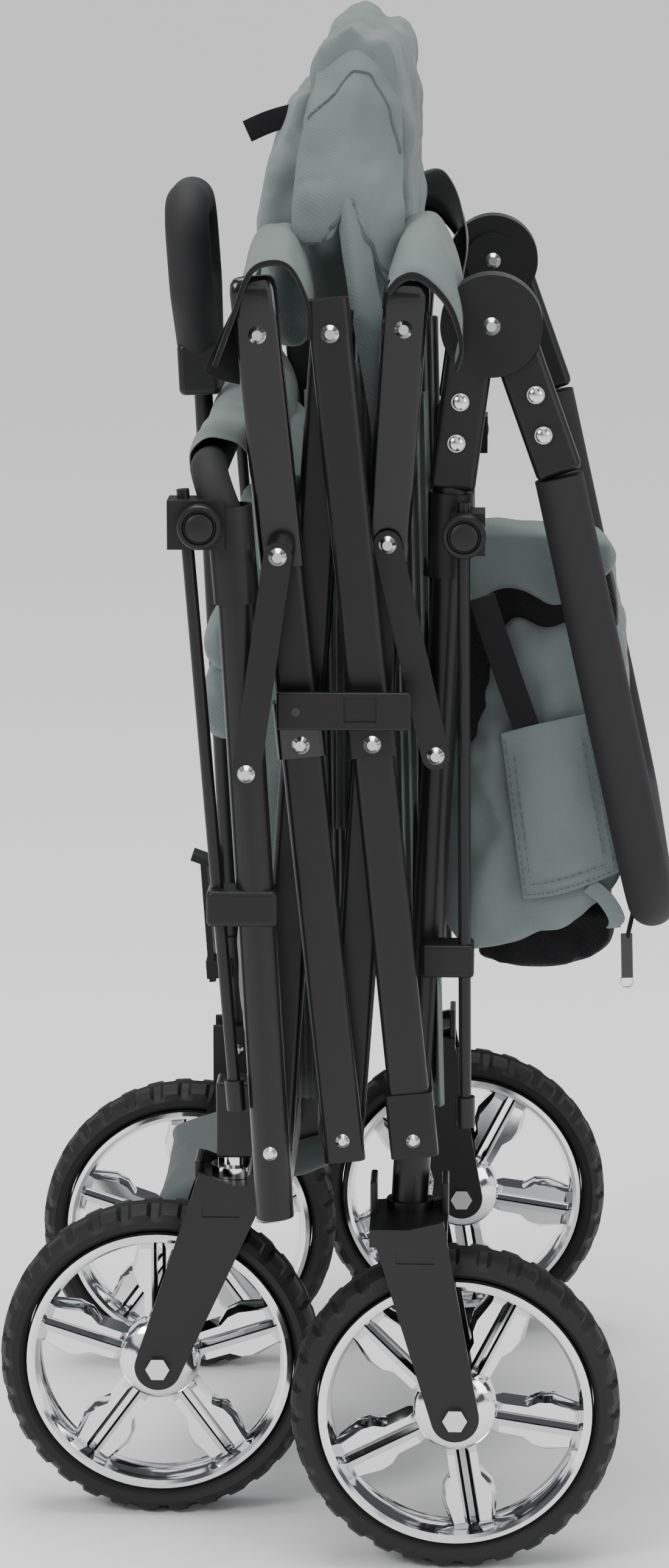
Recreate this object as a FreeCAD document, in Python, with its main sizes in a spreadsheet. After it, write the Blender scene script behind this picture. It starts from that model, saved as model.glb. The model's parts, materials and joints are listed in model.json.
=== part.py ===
"""Folding four-wheel wagon stroller, stored upright in its folded state.

Millimetres. +X points to the rear, +Z up, near side at -Y.  Every member of the
side lattice exists twice, mirrored about the plane Y = 0.
"""
import FreeCAD
import Part
import math
import os

os.makedirs("parts", exist_ok=True)
doc = FreeCAD.newDocument("stroller")
V = FreeCAD.Vector

# ---------------------------------------------------------------- sizes
SIZES = {
    "tyre_radius": 120.0, "rim_radius": 100.8, "rim_bore_radius": 91.5, "tyre_width": 46.0,
    "rim_width": 40.0, "hub_radius": 31.0, "hub_width": 44.0, "spoke_width": 8.0, "spoke_depth": 15.0,
    "axle_radius": 5.0, "running_gap": 0.05, "axle_bolt_radius": 9.0,
    "strut_width": 29.0, "strut_depth": 15.0, "strut_round": 5.0, "strut_wall": 1.8,
    "half_strut": 290.0, "sleeve_width": 34.0, "sleeve_depth": 18.6, "sleeve_height": 40.0,
    "cap_width": 31.0, "cap_depth": 18.0,
    "post_radius": 13.5, "post_wall": 2.0, "post_sleeve_radius": 16.5,
    "rod_radius": 4.5, "rod_end_radius": 8.0, "rod_end_height": 22.0,
    "link_width": 20.0, "link_depth": 3.2,
    "pin_radius": 3.0, "rivet_radius": 6.3, "rivet_dome": 3.2, "screw_radius": 5.0, "screw_dome": 2.4,
    "knob_radius": 15.5, "knob_depth": 14.0, "disc_radius": 36.0, "disc_depth": 15.0,
    "arm_width": 33.0, "arm_depth": 22.0, "lower_arm_depth": 14.4, "arm_rivet_height": 1.7,
    "foam_radius": 17.5, "handle_core_radius": 12.5, "front_foam_radius": 13.0, "grip_radius": 16.5,
    "shaft_radius": 7.0, "beam_height": 26.0, "beam_depth": 30.0, "crossbar_radius": 11.0,
    "fork_plate": 5.0, "fork_half_gap": 27.5, "fork_top_width": 52.0, "fork_end_width": 35.0,
    "saddle_height": 13.0, "stem_radius": 7.0, "ring_radius": 17.0, "ring_height": 8.0,
    "collar_radius": 8.0, "clip_height": 27.0, "clip_depth": 6.0,
}
sheet = doc.addObject("Spreadsheet::Sheet", "Sizes")
for row, (alias, value) in enumerate(SIZES.items(), start=1):
    sheet.set("A%d" % row, alias)
    sheet.set("B%d" % row, str(value))
    sheet.setAlias("B%d" % row, alias)
doc.recompute()

OUTER = 302.0           # layer of the outer struts
INNER = 277.0           # layer of the inner struts
FRONT_Y = 328.0         # front posts stand outside the lattice
REAR_Y = 251.0          # rear posts stand inside it
CENTRE_SHIFT = 8.5      # moves the assembly so its bounding box is centred on the origin
LEAN_AB = -5.86         # tops of struts A and B lean forward
LEAN_CI = 4.10          # tops of struts C and the inner front strut lean rearward
LEAN_REAR = 3.05
LEAN_FRONT = -3.3
LEAN_FRONT_TOP = -4.5


def along(start, lean, distance):
    """Point reached from start = (x, z) after a distance up a leaning member."""
    angle = math.radians(lean)
    return (start[0] + distance * math.sin(angle), start[1] + distance * math.cos(angle))


HALF = SIZES["half_strut"]
REAR_FOOT = (52.6, 328.7)                        # struts B on the rear posts
REAR_MID = along(REAR_FOOT, LEAN_AB, HALF)       # B crosses C
MID_TOP = along(REAR_MID, LEAN_AB, HALF)         # B meets the inner front strut
MID_FOOT = along(REAR_MID, LEAN_CI, -HALF)       # C meets A
REAR_TOP = along(REAR_MID, LEAN_CI, HALF)
FRONT_MID = along(MID_TOP, LEAN_CI, -HALF)       # A crosses the inner front strut
FRONT_FOOT = along(FRONT_MID, LEAN_CI, -HALF)
FRONT_TOP = along(FRONT_MID, LEAN_AB, HALF)
LINK_FRONT_TOP = along(FRONT_MID, LEAN_AB, 139.5)
LINK_FRONT_FOOT = along(FRONT_FOOT, LEAN_FRONT, 275.6)
LINK_REAR_TOP = along(REAR_MID, LEAN_CI, 139.5)
LINK_REAR_FOOT = along(REAR_FOOT, LEAN_REAR, 277.6)

REAR_AXLE = (83.5, 120.0)
FRONT_AXLE = (-139.5, 120.0)
REAR_TRACK = 277.4
FRONT_TRACK = 169.6
SWIVEL_X = -83.5
HINGE = (104.7, 906.7)
finished = []


def rotation(lean):
    return FreeCAD.Rotation(V(0, 1, 0), lean)


def bind(feature, prop, expression):
    feature.setExpression(prop, expression)


def sized(expression):
    """Turn plain size names into sheet references."""
    words = str(expression).replace("(", "( ").replace(")", " )").split()
    return " ".join("Sizes." + word if word in SIZES else word for word in words)


def name_only(text):
    return text.replace(".", "_")


def cylinder(name, radius, height, position, direction=(0, 0, 1)):
    """Cylinder whose radius and height are sheet expressions, starting at position."""
    feature = doc.addObject("Part::Cylinder", name)
    bind(feature, "Radius", sized(radius))
    bind(feature, "Height", sized(str(height)))
    feature.Placement = FreeCAD.Placement(V(*position), FreeCAD.Rotation(V(0, 0, 1), V(*direction)))
    return feature


def block(name, length, width, height, centre, lean=0.0):
    """Box centred on a point and leaning about Y."""
    feature = doc.addObject("Part::Box", name)
    for prop, value in (("Length", length), ("Width", width), ("Height", height)):
        bind(feature, prop, sized(str(value)))
    doc.recompute()
    half = V(feature.Length.Value / 2, feature.Width.Value / 2, feature.Height.Value / 2)
    turn = rotation(lean)
    feature.Placement = FreeCAD.Placement(V(*centre) - turn.multVec(half), turn)
    return feature


def rounded(name, source, radius, picks):
    """Fillet the edges of a feature that picks(edge) accepts."""
    doc.recompute()
    edges = [(i, radius, radius) for i, edge in enumerate(source.Shape.Edges, start=1) if picks(edge)]
    feature = doc.addObject("Part::Fillet", name)
    feature.Base = source
    feature.Edges = edges
    return feature


def every_edge(edge):
    return edge.Length > 1.0


def fuse(name, pieces):
    if len(pieces) == 1:
        return pieces[0]
    feature = doc.addObject("Part::MultiFuse", name)
    feature.Shapes = pieces
    return feature


def cut(name, base, tools):
    if not tools:
        return base
    tool = tools[0]
    if len(tools) > 1:
        tool = doc.addObject("Part::Compound", name + "_tools")
        tool.Links = tools
    feature = doc.addObject("Part::Cut", name)
    feature.Base = base
    feature.Tool = tool
    return feature


def mirrored(name, source):
    feature = doc.addObject("Part::Mirroring", name)
    feature.Source = source
    feature.Base = V(0, 0, 0)
    feature.Normal = V(0, 1, 0)
    return feature


def group(name, pieces):
    feature = doc.addObject("Part::Compound", name)
    feature.Links = pieces
    return feature


def finish(label, feature):
    """Move a feature onto the centred origin, give it its node name and remember it for export."""
    doc.recompute()
    placed = group(name_only(label) + "_node", [feature])
    placed.Placement = FreeCAD.Placement(V(CENTRE_SHIFT, 0, 0), FreeCAD.Rotation())
    placed.Label = label
    finished.append((label, placed))


def finish_pair(label, near):
    """Export a near-side feature together with its mirror image as one node."""
    doc.recompute()
    finish(label, group(label + "_pair", [near, mirrored(label + "_far", near)]))


def finish_set(label, near_pieces):
    """Export several near-side features and their mirror images as one node."""
    doc.recompute()
    pieces = []
    for i, near in enumerate(near_pieces):
        pieces.extend([near, mirrored("%s_far%d" % (label, i), near)])
    finish(label, group(label + "_set", pieces))


def finish_sides(label, near):
    """Export a near-side feature and its mirror image as two nodes."""
    doc.recompute()
    far = mirrored(label + "_mirror", near)
    finish(label + "_near", near)
    finish(label + "_far", far)


# ---------------------------------------------------------------- sketches
def plane_of(body, role):
    for feature in body.Origin.OriginFeatures:
        if getattr(feature, "Role", "") == role:
            return feature
    raise RuntimeError("no origin plane " + role)


def new_sketch(body, name, role="XY_Plane"):
    sketch = body.newObject("Sketcher::SketchObject", name)
    sketch.AttachmentSupport = [(plane_of(body, role), "")]
    sketch.MapMode = "FlatFace"
    return sketch


def rectangle(sketch, width, height):
    """Centred rectangle driven by two sheet expressions."""
    import Sketcher
    doc.recompute()
    a, b = 10.0, 5.0
    corners = [V(-a, -b, 0), V(a, -b, 0), V(a, b, 0), V(-a, b, 0)]
    for i in range(4):
        sketch.addGeometry(Part.LineSegment(corners[i], corners[(i + 1) % 4]), False)
    for i in range(4):
        sketch.addConstraint(Sketcher.Constraint("Coincident", i, 2, (i + 1) % 4, 1))
    for i in (0, 2):
        sketch.addConstraint(Sketcher.Constraint("Horizontal", i))
    for i in (1, 3):
        sketch.addConstraint(Sketcher.Constraint("Vertical", i))
    sketch.addConstraint(Sketcher.Constraint("Symmetric", 0, 1, 1, 2, -1, 1))
    wide = sketch.addConstraint(Sketcher.Constraint("DistanceX", 0, 1, 0, 2, 2 * a))
    high = sketch.addConstraint(Sketcher.Constraint("DistanceY", 1, 1, 1, 2, 2 * b))
    sketch.setExpression("Constraints[%d]" % wide, sized(width))
    sketch.setExpression("Constraints[%d]" % high, sized(height))


def circle(sketch, radius):
    """Circle about the sketch origin driven by a sheet expression."""
    import Sketcher
    index = sketch.addGeometry(Part.Circle(V(0, 0, 0), V(0, 0, 1), 5.0), False)
    sketch.addConstraint(Sketcher.Constraint("Coincident", index, 3, -1, 1))
    number = sketch.addConstraint(Sketcher.Constraint("Radius", index, 5.0))
    sketch.setExpression("Constraints[%d]" % number, sized(radius))


def pad(body, name, sketch, length):
    feature = body.newObject("PartDesign::Pad", name)
    feature.Profile = sketch
    bind(feature, "Length", sized(str(length)))
    return feature


def hollow_bar(name, width, depth, length, foot, y, lean, wall="strut_wall", corner="strut_round"):
    """Rounded rectangular tube whose lower end is centred at foot = (x, z)."""
    body = doc.addObject("PartDesign::Body", name)
    outer = new_sketch(body, name + "_outer")
    rectangle(outer, width, depth)
    solid = pad(body, name + "_pad", outer, length)
    doc.recompute()
    edges = ["Edge%d" % i for i, edge in enumerate(solid.Shape.Edges, start=1)
             if abs(edge.tangentAt(edge.FirstParameter).z) > 0.99]
    fillet = body.newObject("PartDesign::Fillet", name + "_round")
    fillet.Base = (solid, edges)
    bind(fillet, "Radius", sized(corner))
    doc.recompute()
    if wall:
        inner = new_sketch(body, name + "_inner")
        rectangle(inner, "%s - 2 * %s" % (width, wall), "%s - 2 * %s" % (depth, wall))
        pocket = body.newObject("PartDesign::Pocket", name + "_bore")
        pocket.Profile = inner
        pocket.Type = "ThroughAll"
        pocket.Reversed = True
        doc.recompute()
        if pocket.Shape.Volume > 0.9 * solid.Shape.Volume:
            pocket.Reversed = False
    body.Placement = FreeCAD.Placement(V(foot[0], y, foot[1]), rotation(lean))
    doc.recompute()
    return body


def round_tube(name, radius, wall, length, foot, y, lean):
    """Round tube whose lower end is centred at foot = (x, z)."""
    body = doc.addObject("PartDesign::Body", name)
    ring = new_sketch(body, name + "_ring")
    circle(ring, radius)
    if wall:
        circle(ring, "%s - %s" % (radius, wall))
    pad(body, name + "_pad", ring, length)
    body.Placement = FreeCAD.Placement(V(foot[0], y, foot[1]), rotation(lean))
    doc.recompute()
    return body


def plate(name, points, depth, y, corner=0.0):
    """Flat plate from (x, z) corners, its outer face at y and growing towards the middle."""
    body = doc.addObject("PartDesign::Body", name)
    sketch = new_sketch(body, name + "_outline", "XZ_Plane")
    doc.recompute()
    count = len(points)
    for i in range(count):
        start, end = points[i], points[(i + 1) % count]
        sketch.addGeometry(Part.LineSegment(V(start[0], start[1], 0), V(end[0], end[1], 0)), False)
    solid = pad(body, name + "_pad", sketch, depth)
    doc.recompute()
    if corner:
        edges = ["Edge%d" % i for i, edge in enumerate(solid.Shape.Edges, start=1)
                 if abs(edge.tangentAt(edge.FirstParameter).y) > 0.99]
        fillet = body.newObject("PartDesign::Fillet", name + "_round")
        fillet.Base = (solid, edges)
        fillet.Radius = corner
        doc.recompute()
    low = body.Shape.BoundBox.YMin
    body.Placement = FreeCAD.Placement(V(0, y - low, 0), FreeCAD.Rotation())
    doc.recompute()
    return body


def bent_tube(name, points, bend, radius, base, turn):
    """Tube swept along a flat path with rounded corners; base and turn place the path's plane."""
    spine = doc.addObject("Sketcher::SketchObject", name + "_path")
    corners = [V(p[0], p[1], 0) for p in points]
    last = corners[0]
    for i in range(1, len(corners) - 1):
        here = corners[i]
        back = (corners[i - 1] - here).normalize()
        on = (corners[i + 1] - here).normalize()
        half = back.getAngle(on) / 2
        reach = bend / math.tan(half)
        start, end = here + back * reach, here + on * reach
        middle = here + (back + on).normalize() * (bend / math.sin(half) - bend)
        spine.addGeometry(Part.LineSegment(last, start), False)
        spine.addGeometry(Part.Arc(start, middle, end), False)
        last = end
    spine.addGeometry(Part.LineSegment(last, corners[-1]), False)
    place = FreeCAD.Placement(V(*base), turn)
    spine.Placement = place
    section = doc.addObject("Part::Circle", name + "_section")
    bind(section, "Radius", sized(radius))
    first = place.multVec(corners[0])
    heading = turn.multVec((corners[1] - corners[0]).normalize())
    section.Placement = FreeCAD.Placement(first, FreeCAD.Rotation(V(0, 0, 1), heading))
    doc.recompute()
    sweep = doc.addObject("Part::Sweep", name)
    sweep.Sections = [section]
    sweep.Spine = (spine, ["Edge%d" % (i + 1) for i in range(len(spine.Shape.Edges))])
    sweep.Solid = True
    sweep.Frenet = False
    doc.recompute()
    return sweep


def pin(name, point, low, high, head="rivet", heads=1, collar=None):
    """Rivet along Y from y = low (outside, near side) to y = high, with a domed head outside."""
    shank = cylinder(name + "_shank", "pin_radius", high - low, (point[0], low, point[1]), (0, 1, 0))
    pieces = [shank]
    if collar:
        pieces.append(cylinder(name + "_collar", "collar_radius", collar[1] - collar[0],
                               (point[0], collar[0], point[1]), (0, 1, 0)))
    for k in range(heads):
        outside = low if k == 0 else high
        toward = -1 if k == 0 else 1
        dome = doc.addObject("Part::Cone", name + "_dome%d" % k)
        bind(dome, "Radius1", sized(head + "_radius"))
        bind(dome, "Radius2", sized(head + "_radius * 0.55"))
        bind(dome, "Height", sized(head + "_dome"))
        dome.Placement = FreeCAD.Placement(V(point[0], outside, point[1]),
                                           FreeCAD.Rotation(V(0, 0, 1), V(0, toward, 0)))
        pieces.append(dome)
    return fuse(name, pieces)


def hole(name, point, low, high, extra=0.05):
    return cylinder(name, "pin_radius + %s" % extra, high - low, (point[0], low, point[1]), (0, 1, 0))


# ---------------------------------------------------------------- side lattice struts
OUT_FACE = -OUTER - 7.5
OUT_BACK = -OUTER + 7.5
IN_FACE = -INNER - 7.5
IN_BACK = -INNER + 7.5


def strut(name, layer, foot, lean, below, above, holes):
    """One straight strut of the near side with its pivot holes."""
    start = along(foot, lean, -below)
    body = hollow_bar(name + "_tube", "strut_width", "strut_depth", "2 * half_strut + %s" % (below + above),
                      start, -layer, lean)
    tools = [hole("%s_hole%d" % (name, i), point, -layer - 12, -layer + 12) for i, point in enumerate(holes)]
    return cut(name + "_drilled", body, tools)


finish_pair("front_outer_struts",
            strut("strut_a", OUTER, MID_FOOT, LEAN_AB, 16, 16, [MID_FOOT, FRONT_MID, LINK_FRONT_TOP, FRONT_TOP]))
finish_pair("rear_outer_struts",
            strut("strut_b", OUTER, REAR_FOOT, LEAN_AB, 10, 21, [REAR_FOOT, REAR_MID, MID_TOP]))
finish_pair("front_inner_struts",
            strut("strut_i", INNER, FRONT_FOOT, LEAN_CI, 14, 14, [FRONT_FOOT, FRONT_MID, MID_TOP]))
finish_pair("rear_inner_struts",
            strut("strut_c", INNER, MID_FOOT, LEAN_CI, 14, 16, [MID_FOOT, REAR_MID, LINK_REAR_TOP, REAR_TOP]))


def sleeve(name, width, depth, height, foot, layer, lean, holes, corner=4.0, closed=0.0):
    """Plastic sleeve round a strut; closed leaves a solid cap of that thickness on its top."""
    body = doc.addObject("PartDesign::Body", name + "_shell")
    outline = new_sketch(body, name + "_outline")
    rectangle(outline, width, depth)
    solid = pad(body, name + "_pad", outline, height)
    doc.recompute()
    edges = ["Edge%d" % i for i, edge in enumerate(solid.Shape.Edges, start=1)
             if abs(edge.tangentAt(edge.FirstParameter).z) > 0.99]
    fillet = body.newObject("PartDesign::Fillet", name + "_round")
    fillet.Base = (solid, edges)
    fillet.Radius = corner
    body.Placement = FreeCAD.Placement(V(foot[0], -layer, foot[1]), rotation(lean))
    doc.recompute()
    void = block(name + "_void", "strut_width", "strut_depth", "%s" % height,
                 (foot[0], -layer, foot[1]), lean)
    middle = along(foot, lean, (void.Height.Value) / 2 - closed)
    half = V(void.Length.Value / 2, void.Width.Value / 2, void.Height.Value / 2)
    void.Placement = FreeCAD.Placement(V(middle[0], -layer, middle[1]) - rotation(lean).multVec(half), rotation(lean))
    core = rounded(name + "_core", void, SIZES["strut_round"], lambda e: e.Length > 18.0 and
                   abs(abs(e.tangentAt(e.FirstParameter).dot(rotation(lean).multVec(V(0, 0, 1)))) - 1) < 1e-3)
    tools = [core] + [hole("%s_hole%d" % (name, i), point, -layer - 14, -layer + 14)
                      for i, point in enumerate(holes)]
    return cut(name + "_open", body, tools)


cap_a = sleeve("cap_a", "cap_width", "cap_depth", 183.0, along(FRONT_TOP, LEAN_AB, -163), OUTER, LEAN_AB,
               [LINK_FRONT_TOP, FRONT_TOP], closed=4.0)
cap_c = sleeve("cap_c", "cap_width", "cap_depth", 182.0, along(REAR_TOP, LEAN_CI, -163), INNER, LEAN_CI,
               [LINK_REAR_TOP, REAR_TOP], closed=3.0)
cap_b = sleeve("cap_b", "strut_width + 0.8", "strut_depth + 0.8", 26.0, along(MID_TOP, LEAN_AB, -2), OUTER,
               LEAN_AB, [MID_TOP], 5.0, 3.0)
sleeve_a = sleeve("sleeve_a", "sleeve_width", "sleeve_depth", "sleeve_height", along(FRONT_MID, LEAN_AB, -9),
                  OUTER, LEAN_AB, [FRONT_MID])
sleeve_b = sleeve("sleeve_b", "sleeve_width", "sleeve_depth", "sleeve_height", along(REAR_MID, LEAN_AB, -9),
                  OUTER, LEAN_AB, [REAR_MID])
sleeve_e = sleeve("sleeve_e", "sleeve_width", "sleeve_depth", 47.0, along(REAR_FOOT, LEAN_AB, -12.5), OUTER,
                  LEAN_AB, [REAR_FOOT])
finish_set("rear_outer_fittings", [cap_b, sleeve_b, sleeve_e])
finish_pair("rear_inner_caps", cap_c)

# ---------------------------------------------------------------- pivot pins, one group for each body
TAIL = IN_BACK + 1.0
BETWEEN = (OUT_BACK, IN_FACE - 0.2)              # collar between the two lattice layers
BEHIND_SLEEVE = (OUT_BACK + 1.8, IN_FACE - 0.2)
rear_inside = -REAR_Y - SIZES["post_radius"]
front_inside = -FRONT_Y + SIZES["post_radius"]
finish_pair("crossing_pins_front", group("pins_a", [
    pin("pin_a_mid", FRONT_MID, -OUTER - 9.3, TAIL, collar=BEHIND_SLEEVE),
    pin("pin_a_foot", MID_FOOT, OUT_FACE, TAIL, "screw", collar=BETWEEN),
    pin("pin_a_top", FRONT_TOP, -OUTER - 9.0, OUT_BACK)]))
finish_pair("crossing_pins_rear", group("pins_b", [
    pin("pin_b_mid", REAR_MID, -OUTER - 9.3, TAIL, collar=BEHIND_SLEEVE),
    pin("pin_b_foot", REAR_FOOT, -OUTER - 9.3, -REAR_Y - 3.0, "screw",
        collar=(OUT_BACK + 1.8, rear_inside + 0.9 - 1.2)),
    pin("pin_b_top", MID_TOP, -OUTER - 8.0, TAIL, collar=(OUT_BACK + 0.4, IN_FACE - 0.2))]))
finish_pair("strut_top_pins", pin("pin_c_top", REAR_TOP, -INNER - 9.0, TAIL))
finish_pair("front_foot_pins", pin("pin_i_foot", FRONT_FOOT, -FRONT_Y - SIZES["post_radius"], TAIL, "screw",
                                   collar=(front_inside + 0.4, IN_FACE)))

# ---------------------------------------------------------------- front and rear links
FRONT_LINK_FACE = -FRONT_Y - SIZES["post_radius"] - 3.5
REAR_LINK_FACE = -INNER - 17.3


def flat_link(name, foot, top, face):
    """Flat bar with round ends, a spacer at its upper end and both rivets; face is its outer side."""
    length = math.hypot(top[0] - foot[0], top[1] - foot[1])
    lean = math.degrees(math.atan2(top[0] - foot[0], top[1] - foot[1]))
    middle = ((top[0] + foot[0]) / 2, (top[1] + foot[1]) / 2)
    pieces = [block(name + "_bar", "link_width", "link_depth", length,
                    (middle[0], face + SIZES["link_depth"] / 2, middle[1]), lean)]
    for tag, point in (("low", foot), ("high", top)):
        pieces.append(cylinder("%s_%s" % (name, tag), "link_width / 2", "link_depth",
                               (point[0], face, point[1]), (0, 1, 0)))
    return fuse(name, pieces)


finish_pair("front_links", flat_link("link_front", LINK_FRONT_FOOT, LINK_FRONT_TOP, FRONT_LINK_FACE))
finish_pair("rear_links", flat_link("link_rear", LINK_REAR_FOOT, LINK_REAR_TOP, REAR_LINK_FACE))


def link_rivet(name, point, face, stop, boss=None):
    dome = doc.addObject("Part::Cone", name + "_dome")
    bind(dome, "Radius1", sized("rivet_radius"))
    bind(dome, "Radius2", sized("rivet_radius * 0.55"))
    bind(dome, "Height", sized("rivet_dome"))
    dome.Placement = FreeCAD.Placement(V(point[0], face, point[1]), FreeCAD.Rotation(V(0, 0, 1), V(0, -1, 0)))
    start = face + SIZES["link_depth"]
    shank = cylinder(name + "_shank", "pin_radius", stop - start, (point[0], start, point[1]), (0, 1, 0))
    if not boss:
        return dome, shank
    return dome, fuse(name + "_stud", [shank, cylinder(name + "_boss", "collar_radius", boss - start,
                                                       (point[0], start, point[1]), (0, 1, 0))])


front_bits = []
rear_bits = []
for tag, point, stop, boss in (("low", LINK_FRONT_FOOT, -FRONT_Y, None),
                               ("high", LINK_FRONT_TOP, -OUTER - 9.6, -OUTER - 9.4)):
    front_bits.extend(link_rivet("rivet_front_" + tag, point, FRONT_LINK_FACE, stop, boss))
for tag, point, stop, boss in (("low", LINK_REAR_FOOT, -REAR_Y, rear_inside - 0.3),
                               ("high", LINK_REAR_TOP, -INNER - 9.5, None)):
    rear_bits.extend(link_rivet("rivet_rear_" + tag, point, REAR_LINK_FACE, stop, boss))
finish_pair("front_link_rivets", group("rivets_front", front_bits))
finish_pair("rear_link_rivets", group("rivets_rear", rear_bits))

# ---------------------------------------------------------------- lock clip across the folded struts
CLIP_PIVOT = (-30.0, 643.5)
clip_band = block("clip_band", 94.0, "clip_depth", "clip_height", (3.5, -OUTER - 24.5, 644.0))
clip_soft = rounded("clip_soft", clip_band, 2.0, every_edge)
clip_window = block("clip_window", 23.0, 3.0, 17.0, (15.0, -OUTER - 27.5, 645.0))
clip_hole = hole("clip_hole", CLIP_PIVOT, -OUTER - 30, -OUTER - 20)
finish_sides("lock_clip", cut("clip_cut", clip_soft, [clip_window, clip_hole]))
clip_stud = fuse("clip_stud", [
    cylinder("clip_boss", 8.0, 12.0, (CLIP_PIVOT[0], -OUTER - 21.4, CLIP_PIVOT[1]), (0, 1, 0)),
    cylinder("clip_pin", "pin_radius", 6.0, (CLIP_PIVOT[0], -OUTER - 27.4, CLIP_PIVOT[1]), (0, 1, 0))])
finish_set("front_outer_fittings", [cap_a, sleeve_a, clip_stud])

# ---------------------------------------------------------------- rear posts and cross members
rear_start = along(REAR_FOOT, LEAN_REAR, -60.8)
rear_tube = round_tube("rear_tube", "post_radius", "post_wall", 526.0, rear_start, -REAR_Y, LEAN_REAR)
rear_holes = [hole("rear_post_hole0", REAR_FOOT, -REAR_Y - 14, -REAR_Y + 2),
              hole("rear_post_hole1", LINK_REAR_FOOT, -REAR_Y - 14, -REAR_Y + 2)]
rear_post = cut("rear_post_cut", rear_tube, rear_holes)
REAR_BAR = along(REAR_FOOT, LEAN_REAR, -34.0)
REAR_TOP_BAR = along(REAR_FOOT, LEAN_REAR, 440.0)
bars = [cylinder("rear_bar_low", "crossbar_radius", 2 * (REAR_Y - 13.5), (REAR_BAR[0], -REAR_Y + 13.5, REAR_BAR[1]),
                 (0, 1, 0)),
        cylinder("rear_bar_high", "crossbar_radius", 2 * (REAR_Y - 16.6), (REAR_TOP_BAR[0], -REAR_Y + 16.6, REAR_TOP_BAR[1]),
                 (0, 1, 0))]
finish("rear_posts", group("rear_post_group", [rear_post, mirrored("rear_post_far", rear_post)] + bars))

# ---------------------------------------------------------------- clamps on the rear posts
clamp_foot = along(REAR_FOOT, LEAN_REAR, 400.0)
clamp_tube = round_tube("rear_clamp_tube", "post_sleeve_radius", "", 60.0, clamp_foot, -REAR_Y, LEAN_REAR)
clamp_bore = cylinder("rear_clamp_bore", "post_radius", 80.0,
                      (clamp_foot[0] - 0.533, -REAR_Y, clamp_foot[1] - 9.986),
                      (math.sin(math.radians(LEAN_REAR)), 0, math.cos(math.radians(LEAN_REAR))))
clamp_ear = block("rear_clamp_ear", 24.0, 32.0, 30.0, (89.2, -REAR_Y - 22.0, 763.0))
ROD_Y = -REAR_Y - 30.0
REAR_ROD_FOOT = (89.5, 332.0)
REAR_ROD_TOP = (86.0, 785.0)
FRONT_ROD_FOOT = (-72.5, 356.0)
FRONT_ROD_TOP = (-108.0, 800.0)


def on_line(low, high, height):
    share = (height - low[1]) / (high[1] - low[1])
    return low[0] + share * (high[0] - low[0])


def rod_bore(name, low, high, y, height, length):
    """Bore for a rod, starting at a height on the rod's own line."""
    return cylinder(name, "rod_radius + running_gap", length, (on_line(low, high, height), y, height),
                    (high[0] - low[0], 0, high[1] - low[1]))


rear_rod_bore = rod_bore("rear_rod_bore", REAR_ROD_FOOT, REAR_ROD_TOP, ROD_Y, 700.0, 120.0)
rear_clamp = cut("rear_clamp_cut", fuse("rear_clamp_fuse", [clamp_tube, clamp_ear]), [clamp_bore, rear_rod_bore])

# ---------------------------------------------------------------- canopy rods

def rod(name, foot, top, y, cap_radius="rod_end_radius"):
    direction = V(top[0] - foot[0], 0, top[1] - foot[1])
    length = direction.Length
    direction.normalize()
    return fuse(name, [cylinder(name + "_rod", "rod_radius", length, (foot[0], y, foot[1]), tuple(direction)),
                       cylinder(name + "_end", cap_radius, "rod_end_height", (foot[0], y, foot[1]),
                                tuple(direction))])


finish_pair("canopy_rods_rear", rod("rod_rear", REAR_ROD_FOOT, REAR_ROD_TOP, ROD_Y, "rod_end_radius * 0.9"))
finish_pair("canopy_rods_front", rod("rod_front", FRONT_ROD_FOOT, FRONT_ROD_TOP, -FRONT_Y, "rod_end_radius * 0.85"))


# saddle brackets that guide the rods
guide_z = 455.0
post_x = along(REAR_FOOT, LEAN_REAR, (guide_z - REAR_FOOT[1]) / math.cos(math.radians(LEAN_REAR)))[0]
rear_guide = block("rear_guide", 38.0, 28.0, 24.0, (post_x + 17.0, -REAR_Y - 23.0, guide_z))
guide_cuts = [rod_bore("rear_guide_bore", REAR_ROD_FOOT, REAR_ROD_TOP, ROD_Y, 425.0, 60.0),
              cylinder("rear_guide_post", "post_radius", 60.0,
                       (along(REAR_FOOT, LEAN_REAR, 96.4)[0], -REAR_Y, along(REAR_FOOT, LEAN_REAR, 96.4)[1]),
                       (math.sin(math.radians(LEAN_REAR)), 0, math.cos(math.radians(LEAN_REAR))))]
rear_saddle_guide = cut("rear_guide_cut", rounded("rear_guide_soft", rear_guide, 3.0, every_edge), guide_cuts)
finish_set("rear_rod_fittings", [rear_clamp, rear_saddle_guide])

# ---------------------------------------------------------------- front posts: lower, leaning and upper lengths
front_low = along(FRONT_FOOT, LEAN_FRONT, -50.0)
post_axis = (math.sin(math.radians(LEAN_FRONT)), 0, math.cos(math.radians(LEAN_FRONT)))
front_tube = round_tube("front_tube", "post_radius", "post_wall", 444.6, front_low, -FRONT_Y, LEAN_FRONT)
front_holes = [hole("front_post_hole0", FRONT_FOOT, -FRONT_Y - 15, -FRONT_Y + 14),
               hole("front_post_hole1", LINK_FRONT_FOOT, -FRONT_Y - 14, -FRONT_Y + 2)]
finish_pair("front_posts", cut("front_post_cut", front_tube, front_holes))
FRONT_SLEEVE_FOOT = along(FRONT_FOOT, LEAN_FRONT, 394.6)
sleeve_axis = (math.sin(math.radians(LEAN_FRONT_TOP)), 0, math.cos(math.radians(LEAN_FRONT_TOP)))
front_sleeve = round_tube("front_sleeve", 16.0, "", 68.0, FRONT_SLEEVE_FOOT, -FRONT_Y, LEAN_FRONT_TOP)
front_knob_ear = block("front_knob_ear", 40.0, 28.0, 34.0, (-98.0, -FRONT_Y - 3.0, 777.0))
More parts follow.
